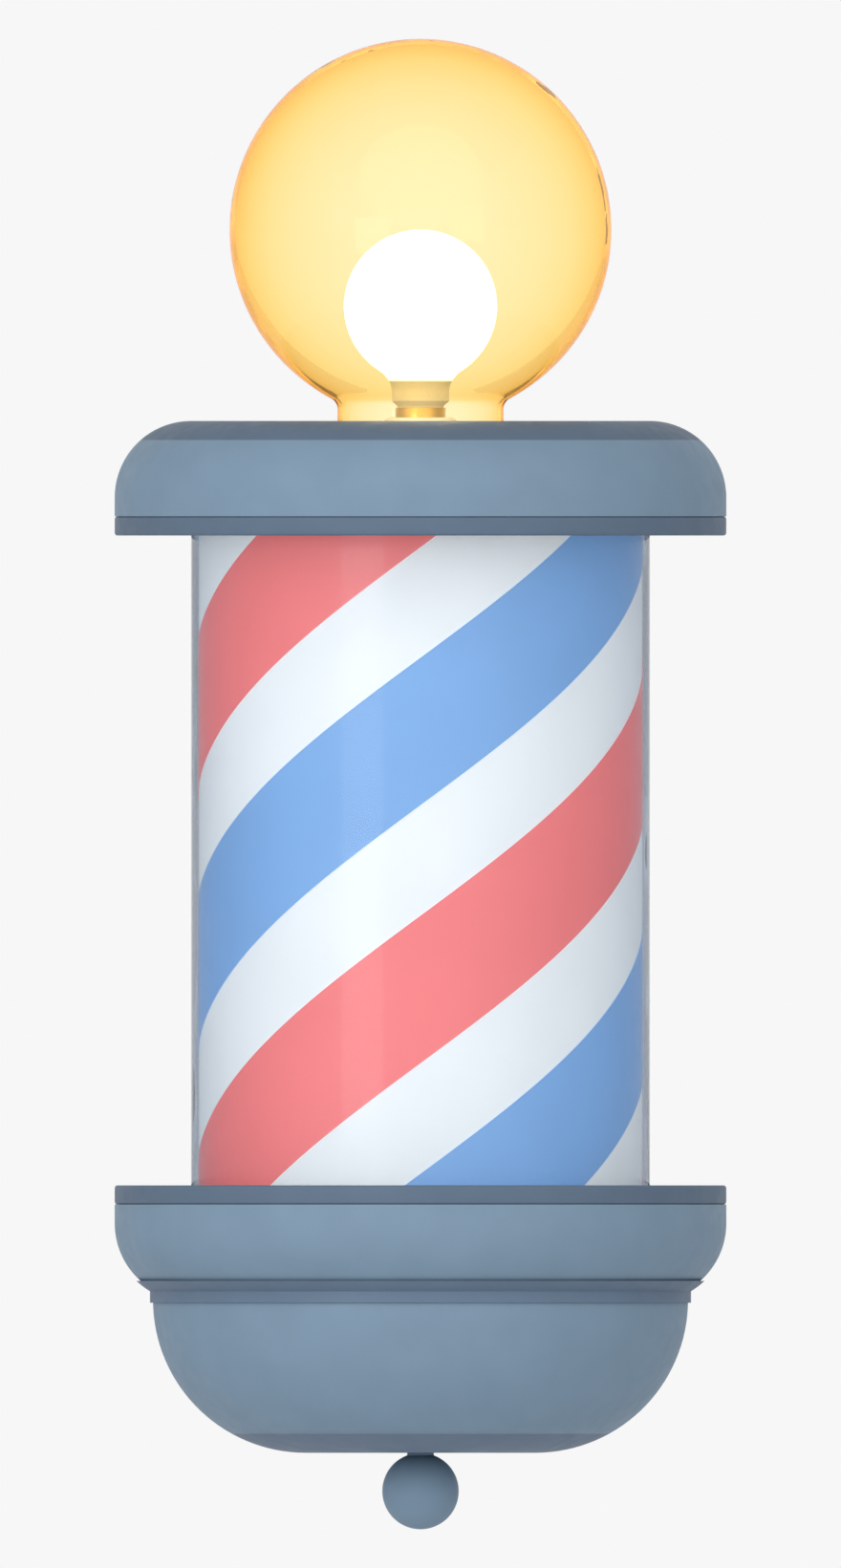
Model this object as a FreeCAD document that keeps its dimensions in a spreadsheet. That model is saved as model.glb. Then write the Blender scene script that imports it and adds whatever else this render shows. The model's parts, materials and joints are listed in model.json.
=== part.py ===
import FreeCAD, Part
import math
import os

import Sketcher

# A barber pole light that hangs on a wall: a striped drum turns inside a clear tube between two
# round caps, with a globe lamp on top and a bowl and a ball finial below.
#
# Frame, in millimetres: the origin is the middle of the wall plate's back face. +Z is up, +Y goes
# into the wall, and the pole stands out from the wall along -Y.

os.makedirs("parts", exist_ok=True)
document = FreeCAD.newDocument("BarberPoleLight")
sheet = document.addObject("Spreadsheet::Sheet", "Sizes")
aliases = []
pieces = []

ALONG_X = FreeCAD.Vector(1, 0, 0)
ALONG_Y = FreeCAD.Vector(0, 1, 0)
ALONG_Z = FreeCAD.Vector(0, 0, 1)
UPRIGHT = FreeCAD.Rotation()
UPSIDE_DOWN = FreeCAD.Rotation(ALONG_Y, 180)
HEAD_OUT_OF_WALL = FreeCAD.Rotation(ALONG_X, 90)
HEAD_TO_LEFT = FreeCAD.Rotation(ALONG_Y, -90)


class Size:
    """A length that knows its number and the sheet formula that drives it."""

    def __init__(self, number, formula):
        self.number = number
        self.formula = formula

    def __add__(self, other):
        other = as_size(other)
        return Size(self.number + other.number, "(%s + %s)" % (self.formula, other.formula))

    def __radd__(self, other):
        return as_size(other) + self

    def __sub__(self, other):
        other = as_size(other)
        return Size(self.number - other.number, "(%s - %s)" % (self.formula, other.formula))

    def __rsub__(self, other):
        return as_size(other) - self

    def __mul__(self, other):
        other = as_size(other)
        return Size(self.number * other.number, "(%s * %s)" % (self.formula, other.formula))

    def __truediv__(self, factor):
        return Size(self.number / factor, "(%s / %g)" % (self.formula, factor))

    def __neg__(self):
        return Size(-self.number, "(0 - %s)" % self.formula)


def as_size(value):
    if isinstance(value, Size):
        return value
    return Size(float(value), "(%g)" % value)


def beside(hypotenuse, side):
    """The other short side of a right-angled triangle."""
    hypotenuse = as_size(hypotenuse)
    side = as_size(side)
    length = math.sqrt(hypotenuse.number ** 2 - side.number ** 2)
    long_square = "%s * %s" % (hypotenuse.formula, hypotenuse.formula)
    short_square = "%s * %s" % (side.formula, side.formula)
    formula = "sqrt(%s - %s)" % (long_square, short_square)
    return Size(length, formula)


def size(alias, number):
    """Write one driving dimension into the sheet."""
    aliases.append(alias)
    row = len(aliases)
    sheet.set("A%d" % row, alias)
    sheet.set("B%d" % row, str(number))
    sheet.setAlias("B%d" % row, alias)
    return Size(float(number), "Sizes." + alias)


# ---------------------------------------------------------------- driving dimensions

# Outside shape
cap_radius = size("cap_radius", 160)
cap_corner = size("cap_corner", 40)
cap_height = size("cap_height", 60)
band = size("band_height", 10)
bowl_radius = size("bowl_radius", 140)
bowl_corner = size("bowl_corner", 80)
ball_radius = size("ball_radius", 20)
tube_radius = size("tube_radius", 120)
tube_wall = size("tube_wall", 3)
window_height = size("window_height", 340)
globe_radius = size("globe_radius", 100)
globe_wall = size("globe_wall", 3)
neck_radius = size("neck_radius", 43.5)
neck_bore = size("neck_bore", 41)
bulb_radius = size("bulb_radius", 40)
bulb_rise = size("bulb_rise", 60)
shell_wall = size("shell_wall", 2)
pole_gap = size("pole_gap", 190)
edge_round = size("edge_round", 1.5)
running_gap = size("running_gap", 0.05)
slip_gap = size("slip_gap", 0.1)
loose_gap = size("loose_gap", 0.2)
press_gap = size("press_gap", 0.01)

# Wall fixing
wall_plate_width = size("wall_plate_width", 130)
wall_plate_height = size("wall_plate_height", 430)
wall_plate_depth = size("wall_plate_depth", 5)
wall_plate_corner = size("wall_plate_corner", 14)
wall_hole_span_x = size("wall_hole_span_x", 104)
wall_hole_span_z = size("wall_hole_span_z", 240)
wall_hole_radius = size("wall_hole_radius", 4.5)
arm_width = size("arm_width", 60)
arm_depth = size("arm_depth", 8)
arm_overlap = size("arm_overlap", 95)
arm_flange = size("arm_flange", 45)
arm_gusset = size("arm_gusset", 12)
bolt_spread = size("bolt_spread", 18)
bolt_inset = size("bolt_inset", 12)
bolt_radius = size("bolt_radius", 4)
bolt_head_radius = size("bolt_head_radius", 7)
bolt_head_height = size("bolt_head_height", 5)
bolt_shank = size("bolt_shank", 12.5)

# Spindle and end plates
spindle_radius = size("spindle_radius", 10)
spindle_bore = size("spindle_bore", 7)
spindle_drop = size("spindle_drop", 35)
spindle_rise = size("spindle_rise", 15)
wire_hole_height = size("wire_hole_height", 23)
wire_hole_radius = size("wire_hole_radius", 4)
wire_hole_circle = size("wire_hole_circle", 35)
wire_hole_side = size("wire_hole_side", 15)
shoulder_radius = size("shoulder_radius", 12)
shoulder_height = size("shoulder_height", 2)
nut_radius = size("nut_radius", 17)
nut_height = size("nut_height", 5)
end_plate = size("end_plate_height", 5)
base_plate_radius = size("base_plate_radius", 148)
top_plate_radius = size("top_plate_radius", 150)
base_plate_drop = size("base_plate_drop", 25)
post_radius = size("post_radius", 6)
post_circle = size("post_circle", 138)
stud_radius = size("stud_radius", 4)
stud_plug = size("stud_plug", 15)
ball_thread = size("ball_thread", 16)
ball_seat = size("ball_seat", 7)

# Caps, bowl and covers
ledge_height = size("ledge_height", 2.5)
ledge_reach = size("ledge_reach", 3)
gasket_height = size("gasket_height", 2)
cap_opening = size("cap_opening", 112)
cover_lip = size("cover_lip", 6)
cover_gap = size("cover_gap", 0.4)
trim_depth = size("trim_depth", 1.5)
crown_post_radius = size("crown_post_radius", 5)
crown_post_circle = size("crown_post_circle", 95)
crown_screw_radius = size("crown_screw_radius", 2)
crown_head_radius = size("crown_head_radius", 4)
crown_screw_length = size("crown_screw_length", 12)
conduit_radius = size("conduit_radius", 6)
conduit_bore = size("conduit_bore", 4.5)
conduit_circle = size("conduit_circle", 142)
conduit_collar = size("conduit_collar_radius", 9)
conduit_foot = size("conduit_foot", 4)
conduit_end = size("conduit_end", 5)

# Drum and stripes
drum_radius = size("drum_radius", 116)
drum_wall = size("drum_wall", 1.5)
drum_overrun_low = size("drum_overrun_low", 14)
drum_overrun_high = size("drum_overrun_high", 6)
stripe_lead = size("stripe_lead", 540)
stripe_film = size("stripe_film", 0.3)
stripe_glue = size("stripe_glue", 0.025)
disc_height = size("disc_height", 4)
hub_radius = size("hub_radius", 24)
hub_drop = size("hub_drop", 12)
vent_radius = size("vent_radius", 17)
vent_circle = size("vent_circle", 78)
bush_radius = size("bush_radius", 14)
bush_height = size("bush_height", 14.5)
bush_gap = size("bush_gap", 0.5)
top_hub_radius = size("top_hub_radius", 20)

# Bearing
bearing_radius = size("bearing_radius", 16)
bearing_width = size("bearing_width", 7)
ball_circle = size("ball_circle_radius", 13.1)
bearing_ball = size("bearing_ball_radius", 1.7)
inner_ring_radius = size("inner_ring_radius", 12)
outer_ring_bore = size("outer_ring_bore", 14.2)

# Drive
gear_module = size("gear_module", 1.5)
gear_teeth = size("drum_gear_teeth", 64)
pinion_teeth = size("pinion_gear_teeth", 16)
gear_height = size("gear_height", 8)
pinion_height = size("pinion_height", 9)
pinion_gap = size("pinion_gap", 0.5)
tooth_play = size("tooth_play", 0.12)
gear_screw_circle = size("gear_screw_circle", 36)
gear_screw_radius = size("gear_screw_radius", 1.5)
gear_screw_head = size("gear_screw_head", 3)
gear_screw_length = size("gear_screw_length", 10)
shaft_radius = size("shaft_radius", 3.5)
shaft_depth = size("shaft_depth", 12)
motor_radius = size("motor_radius", 25)
motor_height = size("motor_height", 24)
motor_flange = size("motor_flange", 2)
motor_ear_spread = size("motor_ear_spread", 30)
motor_ear_radius = size("motor_ear_radius", 7)
motor_shaft_hole = size("motor_shaft_hole", 9)

# Lamps inside the drum
column_side = size("column_side", 32)
column_height = size("column_height", 310)
column_drop = size("column_drop", 5)
board_width = size("board_width", 14)
board_height = size("board_height", 296)
board_depth = size("board_depth", 1.6)
chip_side = size("chip_side", 5)
chip_depth = size("chip_depth", 1.2)
chip_step = size("chip_step", 36)
driver_width = size("driver_width", 34)
driver_length = size("driver_length", 90)
driver_height = size("driver_height", 24)
driver_place = size("driver_place", 78)
block_width = size("block_width", 50)
block_depth = size("block_depth", 16)
block_height = size("block_height", 15)
block_place = size("block_place", 72)
block_screw_step = size("block_screw_step", 10)
block_well_radius = size("block_well_radius", 3)

# Globe fixing and lamp holder
fitter_bore = size("fitter_bore", 44.6)
fitter_radius = size("fitter_radius", 49)
fitter_flange = size("fitter_flange", 60)
fitter_drop = size("fitter_drop", 24)
fitter_ledge = size("fitter_ledge", 38)
gasket_bore = size("gasket_bore", 38.5)
lug_reach = size("lug_reach", 46.9)
lug_height = size("lug_height", 3)
lug_rise = size("lug_rise", 4)
slot_reach = size("slot_reach", 47.4)
slot_height = size("slot_height", 4.4)
collar_height = size("collar_height", 10)
collar_wall = size("collar_wall", 0.65)
neck_clearance = size("neck_clearance", 0.3)
bridge_length = size("bridge_length", 84)
bridge_width = size("bridge_width", 26)
bridge_height = size("bridge_height", 2)
holder_radius = size("holder_radius", 19.5)
holder_bore = size("holder_bore", 13.8)
holder_height = size("holder_height", 26)
holder_floor = size("holder_floor", 4)
bulb_base_radius = size("bulb_base_radius", 13.2)
bulb_base_height = size("bulb_base_height", 26)
bulb_wall = size("bulb_wall", 1)
bulb_neck = size("bulb_neck", 15)
bulb_step = size("bulb_step", 1)
bulb_shoulder = size("bulb_shoulder", 4)
bulb_tail = size("bulb_tail", 10)

# Junction box and switches
box_width = size("box_width", 76)
box_depth = size("box_depth", 53)
box_height = size("box_height", 70)
box_wall = size("box_wall", 2)
box_boss = size("box_boss", 8)
box_cut = size("box_cut_depth", 3)
box_level = size("box_level", 115)
lid_screw_radius = size("lid_screw_radius", 1.5)
lid_screw_head = size("lid_screw_head", 3)
lid_screw_length = size("lid_screw_length", 8)
cable_hole = size("cable_hole_radius", 10)
cable_bore = size("cable_bore_radius", 6)
switch_spread = size("switch_spread", 11.5)
frame_width = size("frame_width", 15)
frame_height = size("frame_height", 21)
frame_lip = size("frame_lip", 1.5)
frame_body_width = size("frame_body_width", 12.8)
frame_body_height = size("frame_body_height", 19)
frame_body_depth = size("frame_body_depth", 14)
rocker_width = size("rocker_width", 10)
rocker_half = size("rocker_half", 7)
rocker_rise = size("rocker_rise", 6.4)
rocker_waist = size("rocker_waist", 5)
rocker_dip = size("rocker_dip", 1.2)
rocker_gap = size("rocker_gap", 0.4)
rocker_end_gap = size("rocker_end_gap", 1.6)
pivot_depth = size("pivot_depth", 2.5)
well_depth = size("switch_well_depth", 9)

sheet.recompute()
document.recompute()

# ---------------------------------------------------------------- levels, as heights above the origin

LUG_COUNT = 3
LUG_ANGLE = 10
SLOT_ANGLE = 46
TWIST_HALF = 15
ROCKER_TILT = -10
STRIPE_STARTS = 2
STRIPE_SHARE = 7
STRIPE_TURNS = 1.3
TURNS_TO_FRONT = 0.75
LED_FACES = 4
CHIPS = 8
BALLS = 10
VENTS = 6
POST_ANGLES = (45, 135, 225, 315)
CROWN_POST_ANGLES = (30, 150, 270)
GEAR_SCREW_ANGLES = (90, 210, 330)
FLANK_STEPS = 5
PRESSURE_ANGLE = 20

pole_y = -pole_gap
window_top = window_height / 2
window_low = -window_top
top_plate_level = window_top + band
crown_level = top_plate_level + cap_height - band
lower_ring_level = window_low - band
lower_cap_level = lower_ring_level - (cap_height - band)
bowl_level = lower_cap_level - bowl_corner
ball_level = bowl_level - ball_radius
base_plate_level = lower_ring_level - base_plate_drop - end_plate
base_plate_top = base_plate_level + end_plate
globe_level = crown_level + globe_radius
bulb_level = crown_level + bulb_rise
fitter_level = crown_level - fitter_drop
neck_foot = fitter_level + shell_wall + gasket_height + neck_clearance
spindle_level = base_plate_level - spindle_drop
shoulder_level = base_plate_top + nut_height
bearing_level = shoulder_level + shoulder_height
hub_level = bearing_level + shell_wall
drum_level = window_low - drum_overrun_low
drum_height = window_height + drum_overrun_low + drum_overrun_high
gear_level = drum_level - gear_height
gear_distance = gear_module * (gear_teeth + pinion_teeth) / 2
conduit_y = conduit_circle - pole_gap
upper_bolt_level = top_plate_level + end_plate + arm_depth - arm_flange + bolt_inset
lower_bolt_level = base_plate_top + arm_flange - bolt_inset
bush_level = top_plate_level - nut_height - bush_gap - bush_height
column_level = -(column_height / 2) - column_drop
lug_level = fitter_level + shell_wall * 2 + lug_rise
bulb_base_level = fitter_level + holder_floor + bulb_wall


# ---------------------------------------------------------------- helpers

def put(item, x=0, y=0, z=0, turn=UPRIGHT):
    """Place a piece; its position follows the sheet."""
    place = [as_size(x), as_size(y), as_size(z)]
    item.Placement = FreeCAD.Placement(FreeCAD.Vector(*[value.number for value in place]), turn)
    for axis, value in zip("xyz", place):
        item.setExpression(".Placement.Base." + axis, value.formula)
    return item


def bind(item, **values):
    for name, value in values.items():
        value = as_size(value)
        setattr(item, name, value.number)
        item.setExpression(name, value.formula)
    return item


def named(item, label):
    item.Label = label
    pieces.append(item)
    return item


def new_body(label, several=False):
    body = document.addObject("PartDesign::Body", label)
    body.AllowCompound = several
    return named(body, label)


def origin_feature(body, role):
    return [feature for feature in body.Origin.OriginFeatures if feature.Role == role][0]


def sketch_on(body, role, offset=0, turn=0):
    """A sketch on one of the body's own origin planes, moved along its normal or turned about its Y."""
    plane = origin_feature(body, role)
    drawing = body.newObject("Sketcher::SketchObject", body.Label + "_sketch")
    drawing.AttachmentSupport = [(plane, "")]
    drawing.MapMode = "FlatFace"
    offset = as_size(offset)
    rotation = FreeCAD.Rotation(ALONG_Y, turn)
    drawing.AttachmentOffset = FreeCAD.Placement(FreeCAD.Vector(0, 0, offset.number), rotation)
    drawing.setExpression(".AttachmentOffset.Base.z", offset.formula)
    return drawing


def fix_point(drawing, geometry, point, x, y):
    """Tie one point of a sketch to its two coordinates from the sheet."""
    for kind, axis, value in (("DistanceX", -2, as_size(x)), ("DistanceY", -1, as_size(y))):
        if value.number == 0:
            drawing.addConstraint(Sketcher.Constraint("PointOnObject", geometry, point, axis))
            continue
        if value.number > 0:
            rule = Sketcher.Constraint(kind, -1, 1, geometry, point, value.number)
        else:
            value = -value
            rule = Sketcher.Constraint(kind, geometry, point, -1, 1, value.number)
        number = drawing.addConstraint(rule)
        drawing.setExpression("Constraints[%d]" % number, value.formula)


def fix_radius(drawing, geometry, radius):
    radius = as_size(radius)
    number = drawing.addConstraint(Sketcher.Constraint("Radius", geometry, radius.number))
    drawing.setExpression("Constraints[%d]" % number, radius.formula)


def arc_geometry(start, end, radius, turn):
    """The short arc from start to end: turn 1 goes counter-clockwise, turn -1 clockwise."""
    chord = end - start
    height = math.sqrt(max(radius ** 2 - (chord.Length / 2) ** 2, 0))
    sideways = FreeCAD.Vector(-chord.y, chord.x, 0).normalize()
    centre = (start + end) * 0.5 + sideways * (height * turn)
    first, last = (start, end) if turn > 0 else (end, start)
    from_angle = math.atan2(first.y - centre.y, first.x - centre.x)
    to_angle = math.atan2(last.y - centre.y, last.x - centre.x)
    return Part.ArcOfCircle(Part.Circle(centre, ALONG_Z, radius), from_angle, to_angle)


def outline(drawing, corners):
    """A closed loop. A corner is (x, y), or (x, y, radius, turn) where an arc ends at it."""
    points = [FreeCAD.Vector(as_size(corner[0]).number, as_size(corner[1]).number, 0) for corner in corners]
    first = drawing.GeometryCount
    ends = []
    for index, corner in enumerate(corners):
        start = points[index - 1]
        end = points[index]
        if len(corner) == 2:
            drawing.addGeometry(Part.LineSegment(start, end))
            ends.append((1, 2))
        else:
            radius = as_size(corner[2])
            drawing.addGeometry(arc_geometry(start, end, radius.number, corner[3]))
            ends.append((1, 2) if corner[3] > 0 else (2, 1))
    count = len(corners)
    for index, corner in enumerate(corners):
        following = (index + 1) % count
        joint = ("Coincident", first + index, ends[index][1], first + following, ends[following][0])
        drawing.addConstraint(Sketcher.Constraint(*joint))
        fix_point(drawing, first + index, ends[index][1], corner[0], corner[1])
        if len(corner) > 2:
            fix_radius(drawing, first + index, corner[2])


def rectangle(drawing, low_x, low_y, high_x, high_y):
    outline(drawing, [(low_x, low_y), (high_x, low_y), (high_x, high_y), (low_x, high_y)])


def rounded_rectangle(drawing, half_width, half_height, corner):
    outline(drawing, [
        (corner - half_width, -half_height, corner, 1),
        (half_width - corner, -half_height),
        (half_width, corner - half_height, corner, 1),
        (half_width, half_height - corner),
        (half_width - corner, half_height, corner, 1),
        (corner - half_width, half_height),
        (-half_width, half_height - corner, corner, 1),
        (-half_width, corner - half_height),
    ])


def circle(drawing, x, y, radius):
    radius = as_size(radius)
    centre = FreeCAD.Vector(as_size(x).number, as_size(y).number, 0)
    geometry = drawing.addGeometry(Part.Circle(centre, ALONG_Z, radius.number))
    fix_point(drawing, geometry, 3, x, y)
    fix_radius(drawing, geometry, radius)


def around(radius, degrees):
    """A point on a circle, as two sizes."""
    radians = math.radians(degrees)
    return radius * round(math.cos(radians), 6), radius * round(math.sin(radians), 6)


def pad(body, drawing, length, reverse=False, both=False):
    feature = body.newObject("PartDesign::Pad", body.Label + "_pad")
    feature.Profile = drawing
    feature.Reversed = reverse
    feature.SideType = "Symmetric" if both else "One side"
    bind(feature, Length=length)
    return feature


def pocket(body, drawing, length=None, reverse=False, both=False):
    feature = body.newObject("PartDesign::Pocket", body.Label + "_pocket")
    feature.Profile = drawing
    feature.Reversed = reverse
    feature.SideType = "Symmetric" if both else "One side"
    if length is None:
        feature.Type = "ThroughAll"
    else:
        bind(feature, Length=length)
    return feature


def revolve(body, drawing, kind="Revolution", angle=360):
    feature = body.newObject("PartDesign::" + kind, body.Label + "_turn")
    feature.Profile = drawing
    feature.ReferenceAxis = (drawing, ["V_Axis"])
    feature.Angle = angle
    feature.Midplane = True
    return feature


def repeat_around(body, originals, count):
    """Copy features around the body's own Z axis."""
    document.recompute()
    pattern = body.newObject("PartDesign::PolarPattern", body.Label + "_pattern")
    pattern.Originals = originals
    pattern.Axis = (origin_feature(body, "Z_Axis"), [""])
    pattern.Angle = 360
    pattern.Occurrences = count
    body.Tip = pattern
    return pattern


def turned(label, corners, y=pole_y, z=0, turn=UPRIGHT):
    """A piece turned on a lathe: its outline holds (radius, height) corners."""
    body = new_body(label)
    drawing = sketch_on(body, "XZ_Plane")
    outline(drawing, corners)
    revolve(body, drawing)
    return put(body, 0, y, z, turn)


def cylinder(radius, height, name="rod"):
    return bind(document.addObject("Part::Cylinder", name), Radius=radius, Height=height)


def fused(shapes):
    item = document.addObject("Part::MultiFuse", "joined")
    item.Shapes = shapes
    return item


def screw(head_radius, head_height, shank_radius, shank_length, hexagon=False):
    """Head above the local origin, shank below it."""
    if hexagon:
        head = bind(document.addObject("Part::Prism", "head"), Circumradius=head_radius, Height=head_height)
        head.Polygon = 6
    else:
        head = cylinder(head_radius, head_height, "head")
    shank = put(cylinder(shank_radius, shank_length, "shank"), 0, 0, -shank_length)
    return fused([head, shank])


def group(label, members):
    item = document.addObject("Part::Compound", label)
    item.Links = members
    return named(item, label)


# ---------------------------------------------------------------- wall plate, arms and their bolts

def make_wall_plate():
    body = new_body("wall_plate")
    drawing = sketch_on(body, "XZ_Plane")
    rounded_rectangle(drawing, wall_plate_width / 2, wall_plate_height / 2, wall_plate_corner)
    pad(body, drawing, wall_plate_depth)
    holes = sketch_on(body, "XZ_Plane")
    for side in (-1, 1):
        for end in (-1, 1):
            circle(holes, wall_hole_span_x / 2 * side, wall_hole_span_z / 2 * end, wall_hole_radius)
        circle(holes, bolt_spread * side, upper_bolt_level, bolt_radius + running_gap)
        circle(holes, bolt_spread * side, lower_bolt_level, bolt_radius + running_gap)
    circle(holes, 0, -box_level, cable_hole)
    pocket(body, holes, both=True)
    return put(body)


def make_arm(label, level, turn):
    """A bent bar: its flange lies on the wall plate and its bar carries an end plate."""
    body = new_body(label)
    drawing = sketch_on(body, "YZ_Plane")
    flange_face = -(wall_plate_depth + arm_depth)
    outline(drawing, [
        (-wall_plate_depth, 0),
        (-wall_plate_depth, arm_flange),
        (flange_face, arm_flange),
        (flange_face, arm_depth + arm_gusset),
        (flange_face - arm_gusset, arm_depth, arm_gusset, 1),
        (-arm_overlap, arm_depth),
        (-arm_overlap, 0),
    ])
    pad(body, drawing, arm_width, both=True)
    flange_holes = sketch_on(body, "XZ_Plane")
    bar_holes = sketch_on(body, "XY_Plane")
    for side in (-1, 1):
        circle(flange_holes, bolt_spread * side, arm_flange - bolt_inset, bolt_radius + running_gap)
        circle(bar_holes, bolt_spread * side, bolt_inset - arm_overlap, bolt_radius + running_gap)
    pocket(body, flange_holes, both=True)
    pocket(body, bar_holes, both=True)
    return put(body, 0, 0, level, turn)


def make_arm_bolts():
    bolts = []
    plate_face = -(wall_plate_depth + arm_depth)
    for side in (-1, 1):
        for level in (upper_bolt_level, lower_bolt_level):
            bolt = screw(bolt_head_radius, bolt_head_height, bolt_radius, bolt_shank, hexagon=True)
            bolts.append(put(bolt, bolt_spread * side, plate_face, level, HEAD_OUT_OF_WALL))
        for level in (top_plate_level + end_plate + arm_depth, base_plate_top + arm_depth):
            bolt = screw(bolt_head_radius, bolt_head_height, bolt_radius, bolt_shank, hexagon=True)
            bolts.append(put(bolt, bolt_spread * side, bolt_inset - arm_overlap, level))
    return group("arm_bolts", bolts)


# ---------------------------------------------------------------- spindle and end plates

def make_spindle():
    length = top_plate_level + end_plate + spindle_rise - spindle_level
    shoulder = shoulder_level - spindle_level
    spindle = turned("spindle", [
        (spindle_bore, 0),
        (spindle_radius, 0),
        (spindle_radius, shoulder),
        (shoulder_radius, shoulder),
        (shoulder_radius, shoulder + shoulder_height),
        (spindle_radius, shoulder + shoulder_height),
        (spindle_radius, length),
        (spindle_bore, length),
    ], z=spindle_level)
    wire_hole = sketch_on(spindle, "XZ_Plane")
    circle(wire_hole, 0, wire_hole_height, wire_hole_radius)
    pocket(spindle, wire_hole, both=True)


def make_spindle_nuts():
    nuts = []
    under_and_over_base = (base_plate_level - nut_height, base_plate_top)
    under_and_over_top = (top_plate_level - nut_height, top_plate_level + end_plate)
    for level in under_and_over_base + under_and_over_top:
        blank = document.addObject("Part::Prism", "nut_blank")
        bind(blank, Circumradius=nut_radius, Height=nut_height)
        blank.Polygon = 6
        nut = document.addObject("Part::Cut", "nut")
        nut.Base = blank
        nut.Tool = cylinder(spindle_radius + running_gap, nut_height)
        nuts.append(put(nut, 0, pole_y, level))
    return group("spindle_nuts", nuts)


def end_plate_with_holes(label, radius, level):
    body = new_body(label)
    drawing = sketch_on(body, "XY_Plane")
    circle(drawing, 0, 0, radius)
    circle(drawing, 0, 0, spindle_radius + slip_gap)
    for side in (-1, 1):
        circle(drawing, bolt_spread * side, pole_gap - arm_overlap + bolt_inset, bolt_radius + running_gap)
    pad(body, drawing, end_plate)
    put(body, 0, pole_y, level)
    return body


def make_base_plate():
    body = end_plate_with_holes("base_plate", base_plate_radius, base_plate_level)
    holes = sketch_on(body, "XY_Plane")
    circle(holes, gear_distance, 0, motor_shaft_hole)
    for side in (-1, 1):
        circle(holes, gear_distance, motor_ear_spread * side, crown_screw_radius + running_gap)
    circle(holes, -wire_hole_side, -wire_hole_circle, wire_hole_radius)
    pocket(body, holes, both=True)


def make_top_plate():
    body = end_plate_with_holes("top_plate", top_plate_radius, top_plate_level)
    holes = sketch_on(body, "XY_Plane")
    circle(holes, 0, -wire_hole_circle, wire_hole_radius)
    pocket(body, holes, both=True)


def posts(label, radius, bore, reach, angles, level, height):
    body = new_body(label, several=True)
    drawing = sketch_on(body, "XY_Plane")
    for angle in angles:
        x, y = around(reach, angle)
        circle(drawing, x, y, radius)
        circle(drawing, x, y, bore)
    pad(body, drawing, height)
    return put(body, 0, pole_y, level)


def make_posts():
    posts("ring_posts", post_radius, crown_screw_radius, post_circle, POST_ANGLES, base_plate_top,
          base_plate_drop)
    height = crown_level - shell_wall - top_plate_level - end_plate
    posts("crown_posts", crown_post_radius, crown_screw_radius + running_gap, crown_post_circle,
          CROWN_POST_ANGLES, top_plate_level + end_plate, height)


def make_crown_screws():
    screws = []
    for angle in CROWN_POST_ANGLES:
        x, y = around(crown_post_circle, angle)
        head = document.addObject("Part::Cone", "head")
        bind(head, Radius1=crown_screw_radius, Radius2=crown_head_radius, Height=shell_wall)
        put(head, 0, 0, -shell_wall)
        shank = put(cylinder(crown_screw_radius, crown_screw_length), 0, 0, -crown_screw_length)
        screws.append(put(fused([head, shank]), x, y + pole_y, crown_level))
    return group("crown_screws", screws)


# ---------------------------------------------------------------- caps, bowl, covers and rings

def arc_reach(flat, corner, drop):
    """Radius of a rounded corner, measured from the axis, at a distance above or below its centre."""
    return flat + beside(corner, drop)


def make_lower_cap():
    flat = cap_radius - cap_corner
    height = cap_height - band
    body = turned("lower_cap", [
        (cap_opening, 0),
        (flat, 0),
        (cap_radius, cap_corner, cap_corner, 1),
        (cap_radius, height),
        (cap_radius - shell_wall, height),
        (cap_radius - shell_wall, cap_corner),
        (flat, shell_wall, cap_corner - shell_wall, -1),
        (cap_opening, shell_wall),
    ], z=lower_cap_level)
    arm_notch(body, base_plate_top - lower_cap_level - shell_wall, height)


def make_top_cap():
    flat = cap_radius - cap_corner
    height = cap_height - band
    inner = cap_corner - shell_wall
    body = turned("top_cap", [
        (arc_reach(flat, cap_corner, cap_corner - band), band),
        (cap_radius, cap_corner, cap_corner, 1),
        (cap_radius, height),
        (cap_radius - shell_wall, height),
        (cap_radius - shell_wall, cap_corner),
        (arc_reach(flat, inner, cap_corner - band), band, inner, -1),
    ], z=crown_level, turn=UPSIDE_DOWN)
    arm_notch(body, height - end_plate - arm_depth - shell_wall, height)


def arm_notch(body, low, high):
    """Opening in the back of a cap, out to its rim, that lets the cap pass over its arm."""
    drawing = sketch_on(body, "XZ_Plane")
    half_width = arm_width / 2 + shell_wall
    rectangle(drawing, -half_width, low, half_width, high + shell_wall)
    pocket(body, drawing)


def make_bowl():
    flat = bowl_radius - bowl_corner
    inner = bowl_corner - shell_wall
    turned("bowl", [
        (arc_reach(flat, bowl_corner, bowl_corner - band), band),
        (bowl_radius, bowl_corner, bowl_corner, 1),
        (cap_opening, bowl_corner),
        (cap_opening, bowl_corner - shell_wall),
        (arc_reach(flat, inner, shell_wall), bowl_corner - shell_wall),
        (arc_reach(flat, inner, bowl_corner - band), band, inner, -1),
    ], z=bowl_level)


def dished_cover(label, flat, corner, hole, level, turn):
    """A shallow cover whose rim carries the corner's curve on, with a lip inside the shell it closes."""
    inner = corner - shell_wall
    lip = arc_reach(flat, inner, corner - band) - cover_gap
    lip_inside = lip - shell_wall
    return turned(label, [
        (hole, 0),
        (flat, 0),
        (arc_reach(flat, corner, corner - band), band, corner, 1),
        (lip, band),
        (lip, band + cover_lip),
        (lip_inside, band + cover_lip),
        (lip_inside, corner - beside(inner, lip_inside - flat)),
        (flat, shell_wall, inner, -1),
        (hole, shell_wall),
    ], z=level, turn=turn)


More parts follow.
